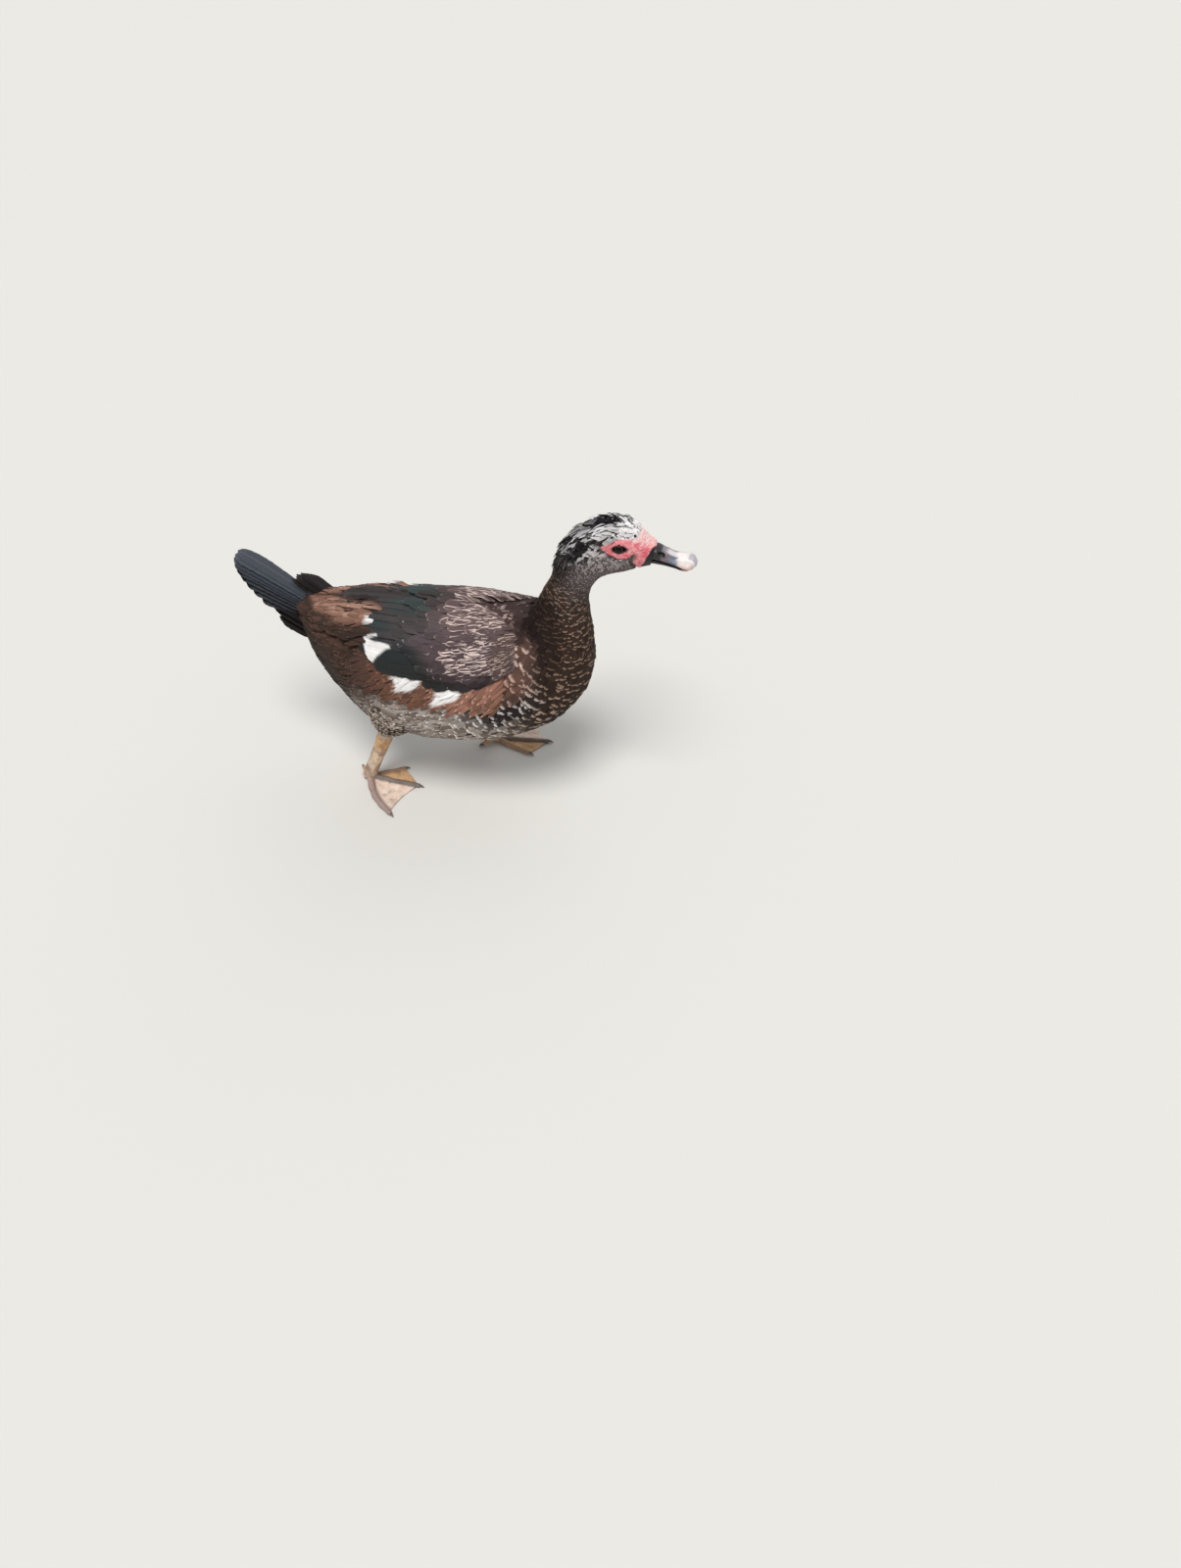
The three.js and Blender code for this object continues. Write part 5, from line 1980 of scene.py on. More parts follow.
@dataclass(frozen=True)
class Lids:
    """The opening of the eye, as half sizes in millimetres, with a longer corner in front.

    Attributes:
        front: From its middle to the front corner.
        back: From its middle to the hind corner.
        up: From its middle to either lid.
        rim: How far the lids stand above the eyeball.
        pocket: How far the skin inside the opening lies under the eyeball's face.
        reach: How far the lids' folds reach, in sizes of the opening.
    """

    front: float = 8.7
    back: float = 7.0
    up: float = 3.6
    rim: float = 0.6
    pocket: float = 1.6
    reach: float = 2.6

    def axes(self, side: Side) -> tuple[Array, Array, Array, Array]:
        """The eyeball's middle, and the directions along the head, up, and out."""
        centre, out = eye_middle(side)
        ahead = unit(np.cross([0.0, 0.0, 1.0], out)) * -side.value
        return centre, ahead, np.cross(out, ahead) * -side.value, out

    def local(self, points: Array, side: Side) -> tuple[Array, Array, Array]:
        """Places seen from the front of the eye: along the head, up, and out."""
        centre, ahead, up, out = self.axes(side)
        away = points - centre
        return away @ ahead, away @ up, away @ out

    def nearness(self, x: Array, y: Array) -> Array:
        """0 in the middle of the opening, 1 on its edge, more outside."""
        high = np.abs(y) / self.up
        round_ = np.hypot(x / np.where(x > 0, self.front, self.back), high)
        pointed = (high + np.sqrt(high**2 + 4 * (x / self.front) ** 2)) / 2
        return np.where(x > 0, 0.4 * round_ + 0.6 * pointed, round_)

    def ball_height(self, x: Array, y: Array) -> Array:
        """How far the eyeball stands out from its own middle."""
        return np.sqrt(np.maximum(EYE_RADIUS**2 - x**2 - y**2, 0))

    def edge(self, a: Array) -> tuple[Array, Array]:
        """The opening's edge in directions given in radians from the front."""
        x, y = np.cos(a), np.sin(a)
        near = self.nearness(x, y)
        return x / near, y / near


LIDS = Lids()
LID_FOLDS = ((0.55, 1.5, 0.1), (-0.6, 1.35, 0.07), (0.4, 1.85, 0.12), (-0.4, 1.68, 0.07))
GAPE_OUTLINE = np.array([[246, 391.2], [262, 392.6], [262, 391.0], [246, 390.4]])


def horn_share(points: Array) -> Array:
    """Where the skin turns to the black horn at the bill's base, from 0 to 1."""
    border = 246 + (points[..., 2] - 389) * 0.47 + ease(np.abs(points[..., 1]), 11, 1) * 5
    return ease(points[..., 0] - border + GRAIN.smooth(points, 3.0) * 0.5, -0.8, 0.8)


def spot(points: Array, x: float, z: float, wide: float, high: float) -> Array:
    """A soft spot in side view, 1 in its middle."""
    return np.exp(-(((points[..., 0] - x) / wide) ** 2) - ((points[..., 2] - z) / high) ** 2)


@dataclass
class Skin:
    """One skin over torso, neck, head and thighs, with the bare face in it.

    Attributes:
        sides: Points round each ring.
        swell: How far the bare skin stands above the feathered outline.
        pebble: The distance between the pebbles of the bare skin.
        knob_rise: How far a knob stands out, as a share of its radius.
        lids: The opening of the eyes.
    """

    sides: int = 232
    swell: float = 0.9
    pebble: float = 2.5
    knob_rise: float = 0.62
    lids: Lids = LIDS
    finish: SkinFinish = SkinFinish()

    def heights(self, u: Array, base: Array) -> tuple[Array, Array]:
        """How far the skin lies above the body's outside.

        Args:
            u: Stations.
            base: The points of the body's outside there.

        Returns:
            The height in millimetres, and how bare the skin is.
        """
        bare = bareness(base) * ease(u, 14.9, 15.1)
        rough = bare * (1 - horn_share(base))
        height = -COAT_SIZES.read("depth", u) * (1 - bare) + bare * self.swell
        pebbles = GRAIN.bumps(base, self.pebble) * 0.6 + GRAIN.bumps(base + 40, 1.3) * 0.24
        folds = np.sin(base[..., 0] * 0.9 + base[..., 2] * 1.3 + GRAIN.smooth(base, 5.0) * 2.4) * 0.25
        height = height + rough * (pebbles + folds - 0.3)
        for knob, side in product(KNOBS, Side):
            middle = BIRD.place(np.array(knob.station), np.array(knob.degrees * side.value))
            away = np.linalg.norm(base - middle, axis=-1) / (knob.radius * 1.25)
            height = height + np.sqrt(np.maximum(1 - away**2, 0)) * knob.radius * self.knob_rise * rough
        for side in Side:
            height = self.around_eye(base, height, side)
        gape = depth_inside(base[..., [0, 2]], GAPE_OUTLINE)
        return height - ease(gape, -1.3, 0.2) * 1.1, bare

    def around_eye(self, base: Array, height: Array, side: Side) -> Array:
        """Opens the lids over the eyeball and lays folds round them.

        Args:
            base: Points of the body's outside.
            height: The skin's height over them.
            side: The side of the bird.

        Returns:
            The new heights.
        """
        x, y, out = self.lids.local(base, side)
        near = self.lids.nearness(x, y)
        close = (np.hypot(x, y) < 20) & (out > -6)
        ball = self.lids.ball_height(x, y)
        inside = np.maximum(ball - self.lids.pocket, EYE_DEPTH - self.lids.pocket - 1) - out
        rim = np.maximum(ball - out + self.lids.rim, height + 0.3)
        fold = sum(high * np.exp(-(((near - at) / wide) ** 2)) for high, at, wide in LID_FOLDS)
        raised = height + (rim - height) * ease(near, 1.42, 1.08) + fold
        made = np.where(near < 1, inside, raised)
        return np.where(close & (near < self.lids.reach), made, height)

    def colours(self, u: Array, turn: Array, points: Array, bare: Array) -> Array:
        """The skin's colour: the coat's markings, darkened as painted shade, and rose red where it is bare.

        Args:
            u: Stations.
            turn: Degrees round the form.
            points: Places in millimetres.
            bare: How bare the skin is.

        Returns:
            One colour for each place.
        """
        # Painted shade: the coat's colours darkened where the skin shows between the feathers.
        coat = COAT_LOOK.read(u, turn, points, np.full(u.shape, 0.5))["base_colour"] * UNDERCOAT_PAINTED_SHADE
        streak = GRAIN.smooth(points * [1, 1, 2.4] + 70, 3.0)
        # Height over the face's top and front, where a painted highlight lies.
        pale = points[..., 2] + (points[..., 0] - 240) * 0.45 + streak * 3
        red = layered(
            paint(0xE4707C),
            (0xF8A4A8, ease(GRAIN.smooth(points, 5.0), -0.6, 0.6)),
            (0xFFC4C2, ease(streak, 0.1, 0.7) * 0.6),
            # Partly the skin's own pale pink and partly painted highlight on the top and front of the face.
            (0xFFE0DC, ease(pale, 415.5, 423) * 0.95),
            (0xD87C84, spot(points, 202, 412, 8, 8) * 0.6),
            # Painted shade: darker red in the creases between the pebbles.
            (0xA23A48, (1 - GRAIN.bumps(points, self.pebble)) * 0.4),
            # Painted shade: a dark olive hollow where the cheek feathers meet the bare skin.
            (0x6E5348, spot(points, 239, 404, 3.5, 5) * 0.8),
            (0x211B1D, horn_share(points)),
        )
        # Round each eye: a darker red ring and a near-black edge by the opening, partly the lids' own dark
        # skin and partly painted shade in the socket.
        for side in Side:
            x, y, _ = self.lids.local(points, side)
            near = self.lids.nearness(x, y) + (points[..., 1] * side.value < 5) * 9
            red = layered(red, (0x5A2026, ease(near, 1.5, 1.15) * 0.85), (0x170C0C, ease(near, 1.12, 1.04)))
        return blend(coat, red, bare)

    def trunk(self) -> Shell:
        """The rings of torso, neck and head, with a rounded end at the rump."""
        steps = [np.arange(0, 9, 0.14), np.arange(9, 13, 0.11), np.arange(13, 15, 0.05)]
        stations = np.concatenate([*steps, np.arange(15, 19, 0.021), [19.0]])
        u, turn = rings_of(stations, self.sides, -180)
        base = BIRD.place(u, turn)
        height, bare = self.heights(u, base)
        points = base + BIRD.outward(u, turn) * height[..., None]
        colour = self.colours(u, turn, base, bare)
        dome = rounded(points[0], np.array([-14.0, 0, 2.0]), (0.95, 0.75, 0.5, 0.25))
        flat = BIRD.unwrap(u, turn)
        dome_flat = np.repeat(flat[:1], len(dome), axis=0)
        dome_flat[..., 0] -= np.linspace(0.009, 0.002, len(dome))[:, None]
        return one_tube(
            np.concatenate([dome, points]),
            np.concatenate([dome_flat, flat]),
            base_colour=np.concatenate([np.repeat(colour[:1], len(dome), axis=0), colour]),
            bare=np.concatenate([np.zeros((len(dome), self.sides)), bare]),
        )

    def build(self, legs: Sequence["Leg"]) -> Piece:
        """Makes the skin, with the thighs fused to the trunk.

        Args:
            legs: The legs whose thighs it takes in.

        Returns:
            The skin as one closed object.
        """
        skin = make_shells("skin", [self.trunk()], crease=SMOOTH)
        for leg in legs:
            other = make_shells("thigh_skin", [leg.thigh_shell()], crease=SMOOTH)
            joining = skin.modifiers.new("thigh", "BOOLEAN")
            joining.operation = "UNION"
            joining.solver = "MANIFOLD"
            joining.object = other
            fused = worked_out(skin)
            skin.modifiers.clear()
            skin.data = fused
            bpy.data.objects.remove(other)
        skin.data.shade_smooth()
        skin.data.materials.clear()
        skin.data.materials.append(self.finish.make())
        return skin


@dataclass
class Eye:
    """One eyeball with its lid margin."""

    side: Side
    finish: EyeFinish = EyeFinish()
    lids: Lids = LIDS

    def build(self, skin: Material) -> list[Piece]:
        """Makes the eyeball, with a slightly raised clear front, and the moist edge of the lids.

        Args:
            skin: The finish of the lids.

        Returns:
            The eyeball and the edge of the lids.
        """
        rings, sides = 40, 48
        centre, ahead, up, out = self.lids.axes(self.side)
        across = ahead * self.side.value
        tilt = np.linspace(0.02, math.pi - 0.02, rings)[:, None]
        turn = (np.arange(sides) * 2 * math.pi / sides)[None, :]
        radius = (EYE_RADIUS - 0.02) * (1 + 0.045 * ease(tilt, 0.95, 0.55))
        flat = np.sin(tilt) * radius
        ball = (
            centre
            + out * (np.cos(tilt) * radius)[..., None]
            + across * (flat * np.cos(turn))[..., None]
            + up * (flat * np.sin(turn))[..., None]
        )
        gaze = np.stack(np.broadcast_arrays(tilt, np.sin(turn), np.cos(turn)), -1)
        map_ = np.stack(np.broadcast_arrays(turn / (2 * math.pi) * 0.98 + 0.01, tilt / math.pi), -1)
        shell = one_tube(ball, map_, gaze=gaze)
        eyeball = make_shells(f"eyeball_{self.side.word}", [shell], self.finish.make())
        return [eyeball, self.margin(skin)]

    def margin(self, skin: Material) -> Piece:
        """Makes the thin edge of the lids as a ring that lies on the eyeball.

        Args:
            skin: Its finish.

        Returns:
            The ring.
        """
        steps, sides = 96, 8
        centre, ahead, up, out = self.lids.axes(self.side)
        a = np.arange(steps) * 2 * math.pi / steps
        x, y = self.lids.edge(a)
        height = np.maximum(self.lids.ball_height(x, y), EYE_DEPTH - 0.6) + 0.32
        middle = centre + ahead * x[:, None] + up * y[:, None] + out * height[:, None]
        along = unit(np.roll(middle, -1, 0) - np.roll(middle, 1, 0))
        wide = unit(np.cross(along, out))
        b = np.arange(sides) * 2 * math.pi / sides
        thick = 0.5 * (1 + 0.12 * np.sin(a * 17))[:, None, None]
        ring = middle[:, None] + wide[:, None] * np.cos(b)[None, :, None] * thick
        ring = ring + out * np.sin(b)[None, :, None] * thick
        i, k = np.meshgrid(np.arange(steps), np.arange(sides), indexing="ij")
        j, m = (i + 1) % steps, (k + 1) % sides
        corners = np.stack([i * sides + k, j * sides + k, j * sides + m, i * sides + m], -1).reshape(-1)
        fields = {"base_colour": np.tile(paint(0x1E1011), (steps * sides, 1)), "bare": np.ones(steps * sides)}
        share = np.stack([i / steps, k / sides], -1).reshape(-1, 2)
        flat = share[corners] * 0.95 + 0.02
        starts = np.arange(steps * sides) * 4
        name = f"lid_edge_{self.side.word}"
        return make_piece(name, ring.reshape(-1, 3), corners, starts, fields, flat, skin)


@dataclass(frozen=True)
class Nostril:
    """A nostril in side view: its middle, its half sizes, and how it slopes down to the front."""

    x: float
    z: float
    wide: float
    high: float
    slope: float = 0.3

    def nearness(self, points: Array) -> Array:
        """0 in its middle and 1 on its edge."""
        x = points[..., 0] - self.x
        return np.hypot(x / self.wide, (points[..., 2] - self.z + x * self.slope) / self.high)


@dataclass
class Bill:
    """The horn of the bill, upper and lower.

    Attributes:
        sides: Points round each ring.
        rings: Rings along each half.
        dent: The nostril's opening.
        shade: Its inside, painted dark as shade.
        apart: How far from the bill's middle plane the nostrils begin.
        nail: The middle of the nail along the head, and its radius.
    """

    sides: int = 96
    rings: int = 180
    dent: Nostril = Nostril(268, 404.4, 4.2, 1.4)
    shade: Nostril = Nostril(268.5, 404, 5, 2.0)
    apart: float = 4.0
    nail: Pair = (302.5, 6.0)
    finish: HornFinish = HornFinish("bill_horn")

    def colours(self, points: Array, upper: bool) -> Array:
        """Black at the base, grey behind, pale pink at the front with a painted highlight along the top, a
        dark cutting edge and painted shade in the nostrils.

        Args:
            points: Places in millimetres.
            upper: Whether it is the upper half.

        Returns:
            One colour for each place.
        """
        x, y, z = points[..., 0], np.abs(points[..., 1]), points[..., 2]
        if not upper:
            return layered(paint(0x171314), (0xC9AE9F, ease(x, 290, 296)))
        wavy = x + GRAIN.smooth(points, 5.0) * 2.0
        ridge = ease(y, 6.5, 3.0)
        nail = ease(x, 297.5, 300) * ease(y, 7.5, 5.5)
        rim = 397.4 - (x - 262) * 0.12
        edge = ease(z, rim, rim - 1.0) * ease(x, 296, 289)
        # Whiter towards the top: partly the tip's own pale pink and partly painted highlight.
        pale = layered(paint(0xCDB2AF), (0xDAD1CD, ease(z, 394, 398)))
        colour = layered(paint(0x2B2627), (0x6E626A, ease(wavy, 265, 270)), (0x5F6878, ease(wavy, 276, 280)))
        return layered(
            blend(colour, pale, ease(wavy, 285, 291)),
            # Painted highlight: grey and near-white stripes along the ridge.
            (0x8A8288, ridge * ease(wavy, 267, 269) * 0.8),
            (0xDDD4D6, ridge * ease(wavy, 271, 276) * 0.9),
            # Partly the tip's own pale and partly painted highlight on its top.
            (0xEDE7E3, ease(y, 11, 7) * ease(wavy, 283, 288)),
            (0xA9A7B0, nail * 0.85),
            (0x171314, edge * 0.92),
            # Painted shade inside the nostrils.
            (0x060405, ease(self.shade.nearness(points), 1.15, 0.85) * (y > self.apart)),
        )

    def half(self, name: str, form: Form, upper: bool, horn: Material) -> Piece:
        """Lofts one half of the bill with its rounded tip, nostrils and nail.

        Args:
            name: The piece's name.
            form: Its form.
            upper: Whether it is the upper half.
            horn: Its finish.

        Returns:
            The piece.
        """
        station, turn = rings_of(np.linspace(0.25, form.length, self.rings), self.sides)
        points = form.place(station, turn)
        out = form.outward(station, turn)
        height = np.zeros(station.shape)
        if upper:
            x, y, z = points[..., 0], np.abs(points[..., 1]), points[..., 2]
            slot = self.dent.nearness(points)
            height -= 2.4 * ease(slot, 1.05, 0.5) * (y > self.apart)
            height += 0.5 * np.exp(-(((slot - 1.5) / 0.3) ** 2)) * (y > self.apart)
            middle, radius = self.nail
            nail = np.hypot((x - middle) / radius, y / radius)
            top = np.cos(np.radians(turn)) > -0.2
            height += np.sqrt(np.maximum(1 - nail**2, 0)) * top
            groove = np.abs(z - (396.6 - (x - 266) * 0.13))
            height -= 0.35 * np.exp(-((groove / 0.5) ** 2)) * (x > 266)
        height += GRAIN.smooth(points, 3.0) * 0.1
        points = points + out * height[..., None]
        dome = rounded(points[-1], np.array([1.8, 0, -0.3]), (0.3, 0.6, 0.85, 0.98))
        points = np.concatenate([points, dome])
        stations = np.concatenate([station / form.length * 0.9, np.full((len(dome), self.sides), 0.95)])
        turns = np.concatenate([turn, turn[: len(dome)]])
        flat = np.stack([stations + 0.02, turns / 360 * 0.96 + 0.02], -1)
        shell = one_tube(points, flat, base_colour=self.colours(points, upper))
        return make_shells(name, [shell], horn, 70.0)

    def build(self) -> list[Piece]:
        """Makes both halves."""
        horn = self.finish.make()
        halves = (("upper_bill_horn", UPPER_BILL, True), ("lower_bill_horn", LOWER_BILL, False))
        return [self.half(*half, horn) for half in halves]


# Legs


@dataclass(frozen=True)
class Toe:
    """A toe's middle line on the floor: its tip, its joints, and how far it bows outward."""

    tip: Pair
    joints: int
    bow: float = 0.0
    thick: float = 1.0


# Shares of the way from ankle to foot and from hip to ankle, and the radius there
SHANK_RADII = ((0.0, 10.4), (0.16, 9.8), (0.5, 9.0), (0.97, 8.8))
THIGH_RADII = ((0.0, 41), (0.46, 31), (0.84, 11))


@dataclass
class Leg:
    """One leg: feathered thigh, scaled shank, and a webbed foot that lies on the floor.

    Attributes:
        hip: The middle of the hip.
        ankle: The bend above the shank.
        foot: The joint that the toes spring from.
        toes: The inner, middle and outer toe.
        hallux: The tip of the hind toe.
        toe_radius: How thick a toe is where it springs.
        grain: How far the scales stand out.
        web_half: Half the thickness of a web.
        voxel: The grid on which the foot's parts are fused.
    """

    side: Side
    hip: tuple[float, float, float]
    ankle: tuple[float, float, float]
    foot: tuple[float, float, float]
    toes: tuple[Toe, Toe, Toe]
    hallux: Pair
    toe_radius: float = 4.2
    grain: float = 0.42
    web_half: float = 0.85
    voxel: float = 0.85
    finish: ScaleFinish = ScaleFinish()

    def thigh(self) -> Tube:
        """The feathered part, from the hip to just above the ankle."""
        tube = Tube([[*between((self.hip, self.ankle), t), radius] for t, radius in THIGH_RADII])
        tube.unwrap_corner = (0.02 if self.side is Side.RIGHT else 0.51, 0.885)
        tube.unwrap_size = (0.46, 0.1)
        return tube

    def thigh_depth(self, u: Array) -> Array:
        """How far the thigh's skin lies under the outside of its coat."""
        return np.interp(u, [0, 1.4, 2], [3.0, 2.6, 1.4])

    def thigh_shell(self) -> Shell:
        """The thigh's skin, a little inside its coat."""
        tube = self.thigh()
        station, turn = rings_of(np.linspace(0.02, tube.length, 56), 72, -180)
        points = tube.place(station, turn, -self.thigh_depth(station))
        look = THIGH_LOOK_PAINTED_LIGHT.read(station, turn, points, np.full(station.shape, 0.5))
        # Painted shade: the thigh's skin takes its feathers' colours, darkened.
        colour = look["base_colour"] * UNDERCOAT_PAINTED_SHADE
        return one_tube(points, tube.unwrap(station, turn), base_colour=colour, bare=np.zeros(station.shape))

    def thigh_coat(self, material: Material) -> Piece:
        """The thigh's small, soft feathers, which point down the leg.

        Args:
            material: Their finish.

        Returns:
            The piece.
        """
        draw = np.random.default_rng(70 + self.side.value)
        tube = self.thigh()
        rows = []
        u = 1.97
        odd = 0.0
        while u > 0.1:
            radius = float(np.interp(u, [0, 1, 2], [size for _, size in THIGH_RADII]))
            gap = float(np.interp(u, [0, 1.5, 2], [6.5, 4.6, 2.6]))
            count = int(2 * math.pi * radius / gap)
            turn = (np.arange(count) + odd) * 360 / count - 180
            rows.append(np.stack([np.full(count, u), turn], -1))
            u -= gap * 0.8 / 38
            odd = 0.5 - odd
        root = np.concatenate(rows)
        count = len(root)
        root = root + draw.normal(0, 1, root.shape) * [0.015, 2.0]
        length = np.interp(root[:, 0], [0, 1.5, 2], [20, 14, 8]) * draw.normal(1, 0.14, count)
        ahead, _ = tube.steps(root[:, 0], root[:, 1])
        tip = root + np.stack([length / np.linalg.norm(ahead, axis=1), draw.normal(0, 6, count)], -1)
        flock = Flock(
            tube,
            root,
            tip,
            np.stack([-self.thigh_depth(root[:, 0]) - 0.5, draw.normal(0.8, 0.5, count)], -1),
            np.interp(root[:, 0], [0, 1.5, 2], [4.6, 3.6, 2.0]) * draw.normal(1, 0.1, count),
            draw.normal(0, 9, count),
            draw.normal(0.3, 0.6, count),
        )
        return make_shells(f"thigh_coat_{self.side.word}", [flock.grow(HAIR_CUT, THIGH_LOOK_PAINTED_LIGHT, 71)], material)

    def toe_point(self, toe: Toe, t: float) -> Array:
        """A point on a toe's middle line, from the joint to the tip."""
        way = np.array(toe.tip) - np.array(self.foot[:2])
        across = np.array([-way[1], way[0]]) / float(np.linalg.norm(way)) * self.side.value
        x, y = np.array(self.foot[:2]) + way * t + across * toe.bow * math.sin(math.pi * t)
        start = self.foot[2] - 3
        return np.array([x, y, start + (2.9 - start) * min(t * 2.2, 1.0)])

    def toe_tube(self, toe: Toe) -> Tube:
        """A toe that swells at its joints."""
        path = []
        for i in range(toe.joints * 2 + 1):
            t = i / (toe.joints * 2)
            swell = 1.0 if i % 2 == 0 else 0.8
            path.append([*self.toe_point(toe, t), self.toe_radius * toe.thick * swell * (1.12 - 0.42 * t)])
        return Tube(path)

    def claw(self, tip: Pair, way: Array, start_height: float, length: float) -> Shell:
        """A blunt curved claw beyond a toe's tip.

        Args:
            tip: The toe's tip on the floor.
            way: The way that it points.
            start_height: Its height at the toe.
            length: Its length.

        Returns:
            The claw as a closed tube.
        """
        steps = np.array([-3.0, 0.0, length * 0.4, length * 0.75, length])
        heights = np.array([0.2, 0.5, 0.4, -0.8, -2.3]) + start_height
        radii = [2.3, 2.2, 1.75, 1.1, 0.3]
        path = [[*(np.array(tip) + way * s), max(h, r), r] for s, h, r in zip(steps, heights, radii)]
        tube = Tube(path)
        u, turn = rings_of(np.linspace(0, tube.length, 18), 14)
        points = tube.place(u, turn)
        points[..., 2] = np.maximum(points[..., 2], 0.0)
        colour = blend(paint(0x3F352E), paint(0x7E7066), ease(u / tube.length, 0.1, 0.9))
        flat = np.stack([u / tube.length * 0.9 + 0.05, turn / 360 * 0.9 + 0.05], -1)
        return one_tube(points, flat, base_colour=colour)

    def web(self, a: Toe, b: Toe, pull: float) -> Array:
        """The web between two toes as rings, with its skin in shallow folds.

        Args:
            a: One toe.
            b: The toe beside it.
            pull: The share by which the free edge is drawn in.

        Returns:
            The rings.
        """
        rings, columns = 40, 30
        grid = np.zeros((rings, columns, 3))
        for k in range(columns):
            across = k / (columns - 1)
            reach = 0.985 - pull * math.sin(math.pi * across) ** 0.8
            for r in range(rings):
                t = 0.06 + (reach - 0.06) * r / (rings - 1)
                grid[r, k] = self.toe_point(a, t) * (1 - across) + self.toe_point(b, t) * across
                wave = 0.5 * math.sin(across * 21 + t * 5) + 0.4 * math.sin(across * 9 - t * 11)
                grid[r, k, 2] = 2.0 + wave * math.sin(math.pi * across) + 2.2 * (1 - t) ** 3
        thick = np.array([0.0, 0.0, self.web_half])
        return np.concatenate([grid + thick, (grid - thick)[:, ::-1]], axis=1)

    def limb_rings(self, tube: Tube, rings: int) -> Array:
        """A limb's rings with rounded ends.

        Args:
            tube: The limb.
            rings: How many rings it has.

        Returns:
            The rings.
        """
        u = np.linspace(0, tube.length, rings)
        points = tube.place(*rings_of(u, 28))
        domes = []
        for index, way in ((0, -1), (-1, 1)):
            beside = tube.axis(np.array([u[index] - way * 0.1]))[0]
            ahead = unit(tube.axis(np.array([u[index]]))[0] - beside)
            size = float(np.linalg.norm(points[index] - points[index].mean(0), axis=1).mean())
            domes.append(rounded(points[index], ahead * size, (0.4, 0.75, 0.97)))
        return np.concatenate([domes[0][::-1], points, domes[1]])

    def rough_foot(self) -> Piece:
        """Toes, webs, joint and shank laid over one another, to be fused."""
        x, y, z = self.foot
        bend = [*between((self.foot[:2], self.hallux), 0.6), 5.8, 3.4]
        hind = Tube([[*self.foot, 4.4], bend, [*self.hallux, 2.9, 1.9]])
        knuckle = Tube([[x - 5, y, z - 1, 5.8], [x, y, z - 0.5, 7.6], [x + 6, y, z - 2, 5.6]])
        down = [[*between((self.ankle, self.foot), t), radius] for t, radius in SHANK_RADII]
        shank = Tube([[*between((self.ankle, self.hip), 0.2), 8.0], *down])
        inner, middle, outer = self.toes
        parts = [self.limb_rings(self.toe_tube(toe), 48) for toe in self.toes]
        parts += [self.web(inner, middle, -0.04), self.web(middle, outer, 0.07)]
        parts += [self.limb_rings(hind, 24), self.limb_rings(knuckle, 16), self.limb_rings(shank, 60)]
        shells = [one_tube(part, np.zeros((*part.shape[:2], 2))) for part in parts]
        return make_shells("rough_foot", shells, crease=SMOOTH)

    def along_shank(self, points: Array) -> tuple[Array, Array, float]:
        """How far places lie down the shank, their way out from its middle line, and its length."""
        down = np.array(self.foot) - np.array(self.ankle)
        size = float(np.linalg.norm(down))
        away = points - np.array(self.ankle)
        s = away @ (down / size)
        return s, away - s[..., None] * (down / size), size

    def scale_heights(self, points: Array) -> Array:
        """Rows of broad scutes down the front of the shank and toes, small round scales elsewhere.

        Args:
            points: Places in millimetres.

        Returns:
            One height in millimetres for each place.
        """
        s, beside, size = self.along_shank(points)
        on_shank = ease(s, size + 2, size - 6)
        front = ease(beside[..., 0], 0.5, 3.0)
        ridge = np.abs(((s + GRAIN.smooth(points, 6.0) * 0.5) / 3.6) % 1.0 - 0.5) * 2
        small = GRAIN.bumps(points, 1.9)
        shank = small * (1 - front) + ease(ridge, 0.98, 0.7) * front
        toe = np.max([self.toe_nearness(toe, points) for toe in self.toes], axis=0)
        along = np.linalg.norm(points[..., :2] - np.array(self.foot[:2]), axis=-1)
        bands = ease(np.abs((along / 2.9) % 1.0 - 0.5) * 2, 0.98, 0.66)
        low = bands * toe + small * (1 - toe) * 0.55
        return (shank * on_shank + low * (1 - on_shank)) * self.grain

    def toe_nearness(self, toe: Toe, points: Array, wide: float = 4.6) -> Array:
        """1 on a toe's middle line and 0 beside it."""
        gap = np.full(points.shape[:-1], 99.0)
        line = [self.toe_point(toe, t)[:2] for t in np.linspace(0, 1, 7)]
        for a, b in zip(line, line[1:]):
            away = points[..., :2] - a
            t = np.clip(away @ (b - a) / ((b - a) @ (b - a)), 0, 1)
            gap = np.minimum(gap, np.linalg.norm(away - t[..., None] * (b - a), axis=-1))
        return ease(gap, wide, wide * 0.5)

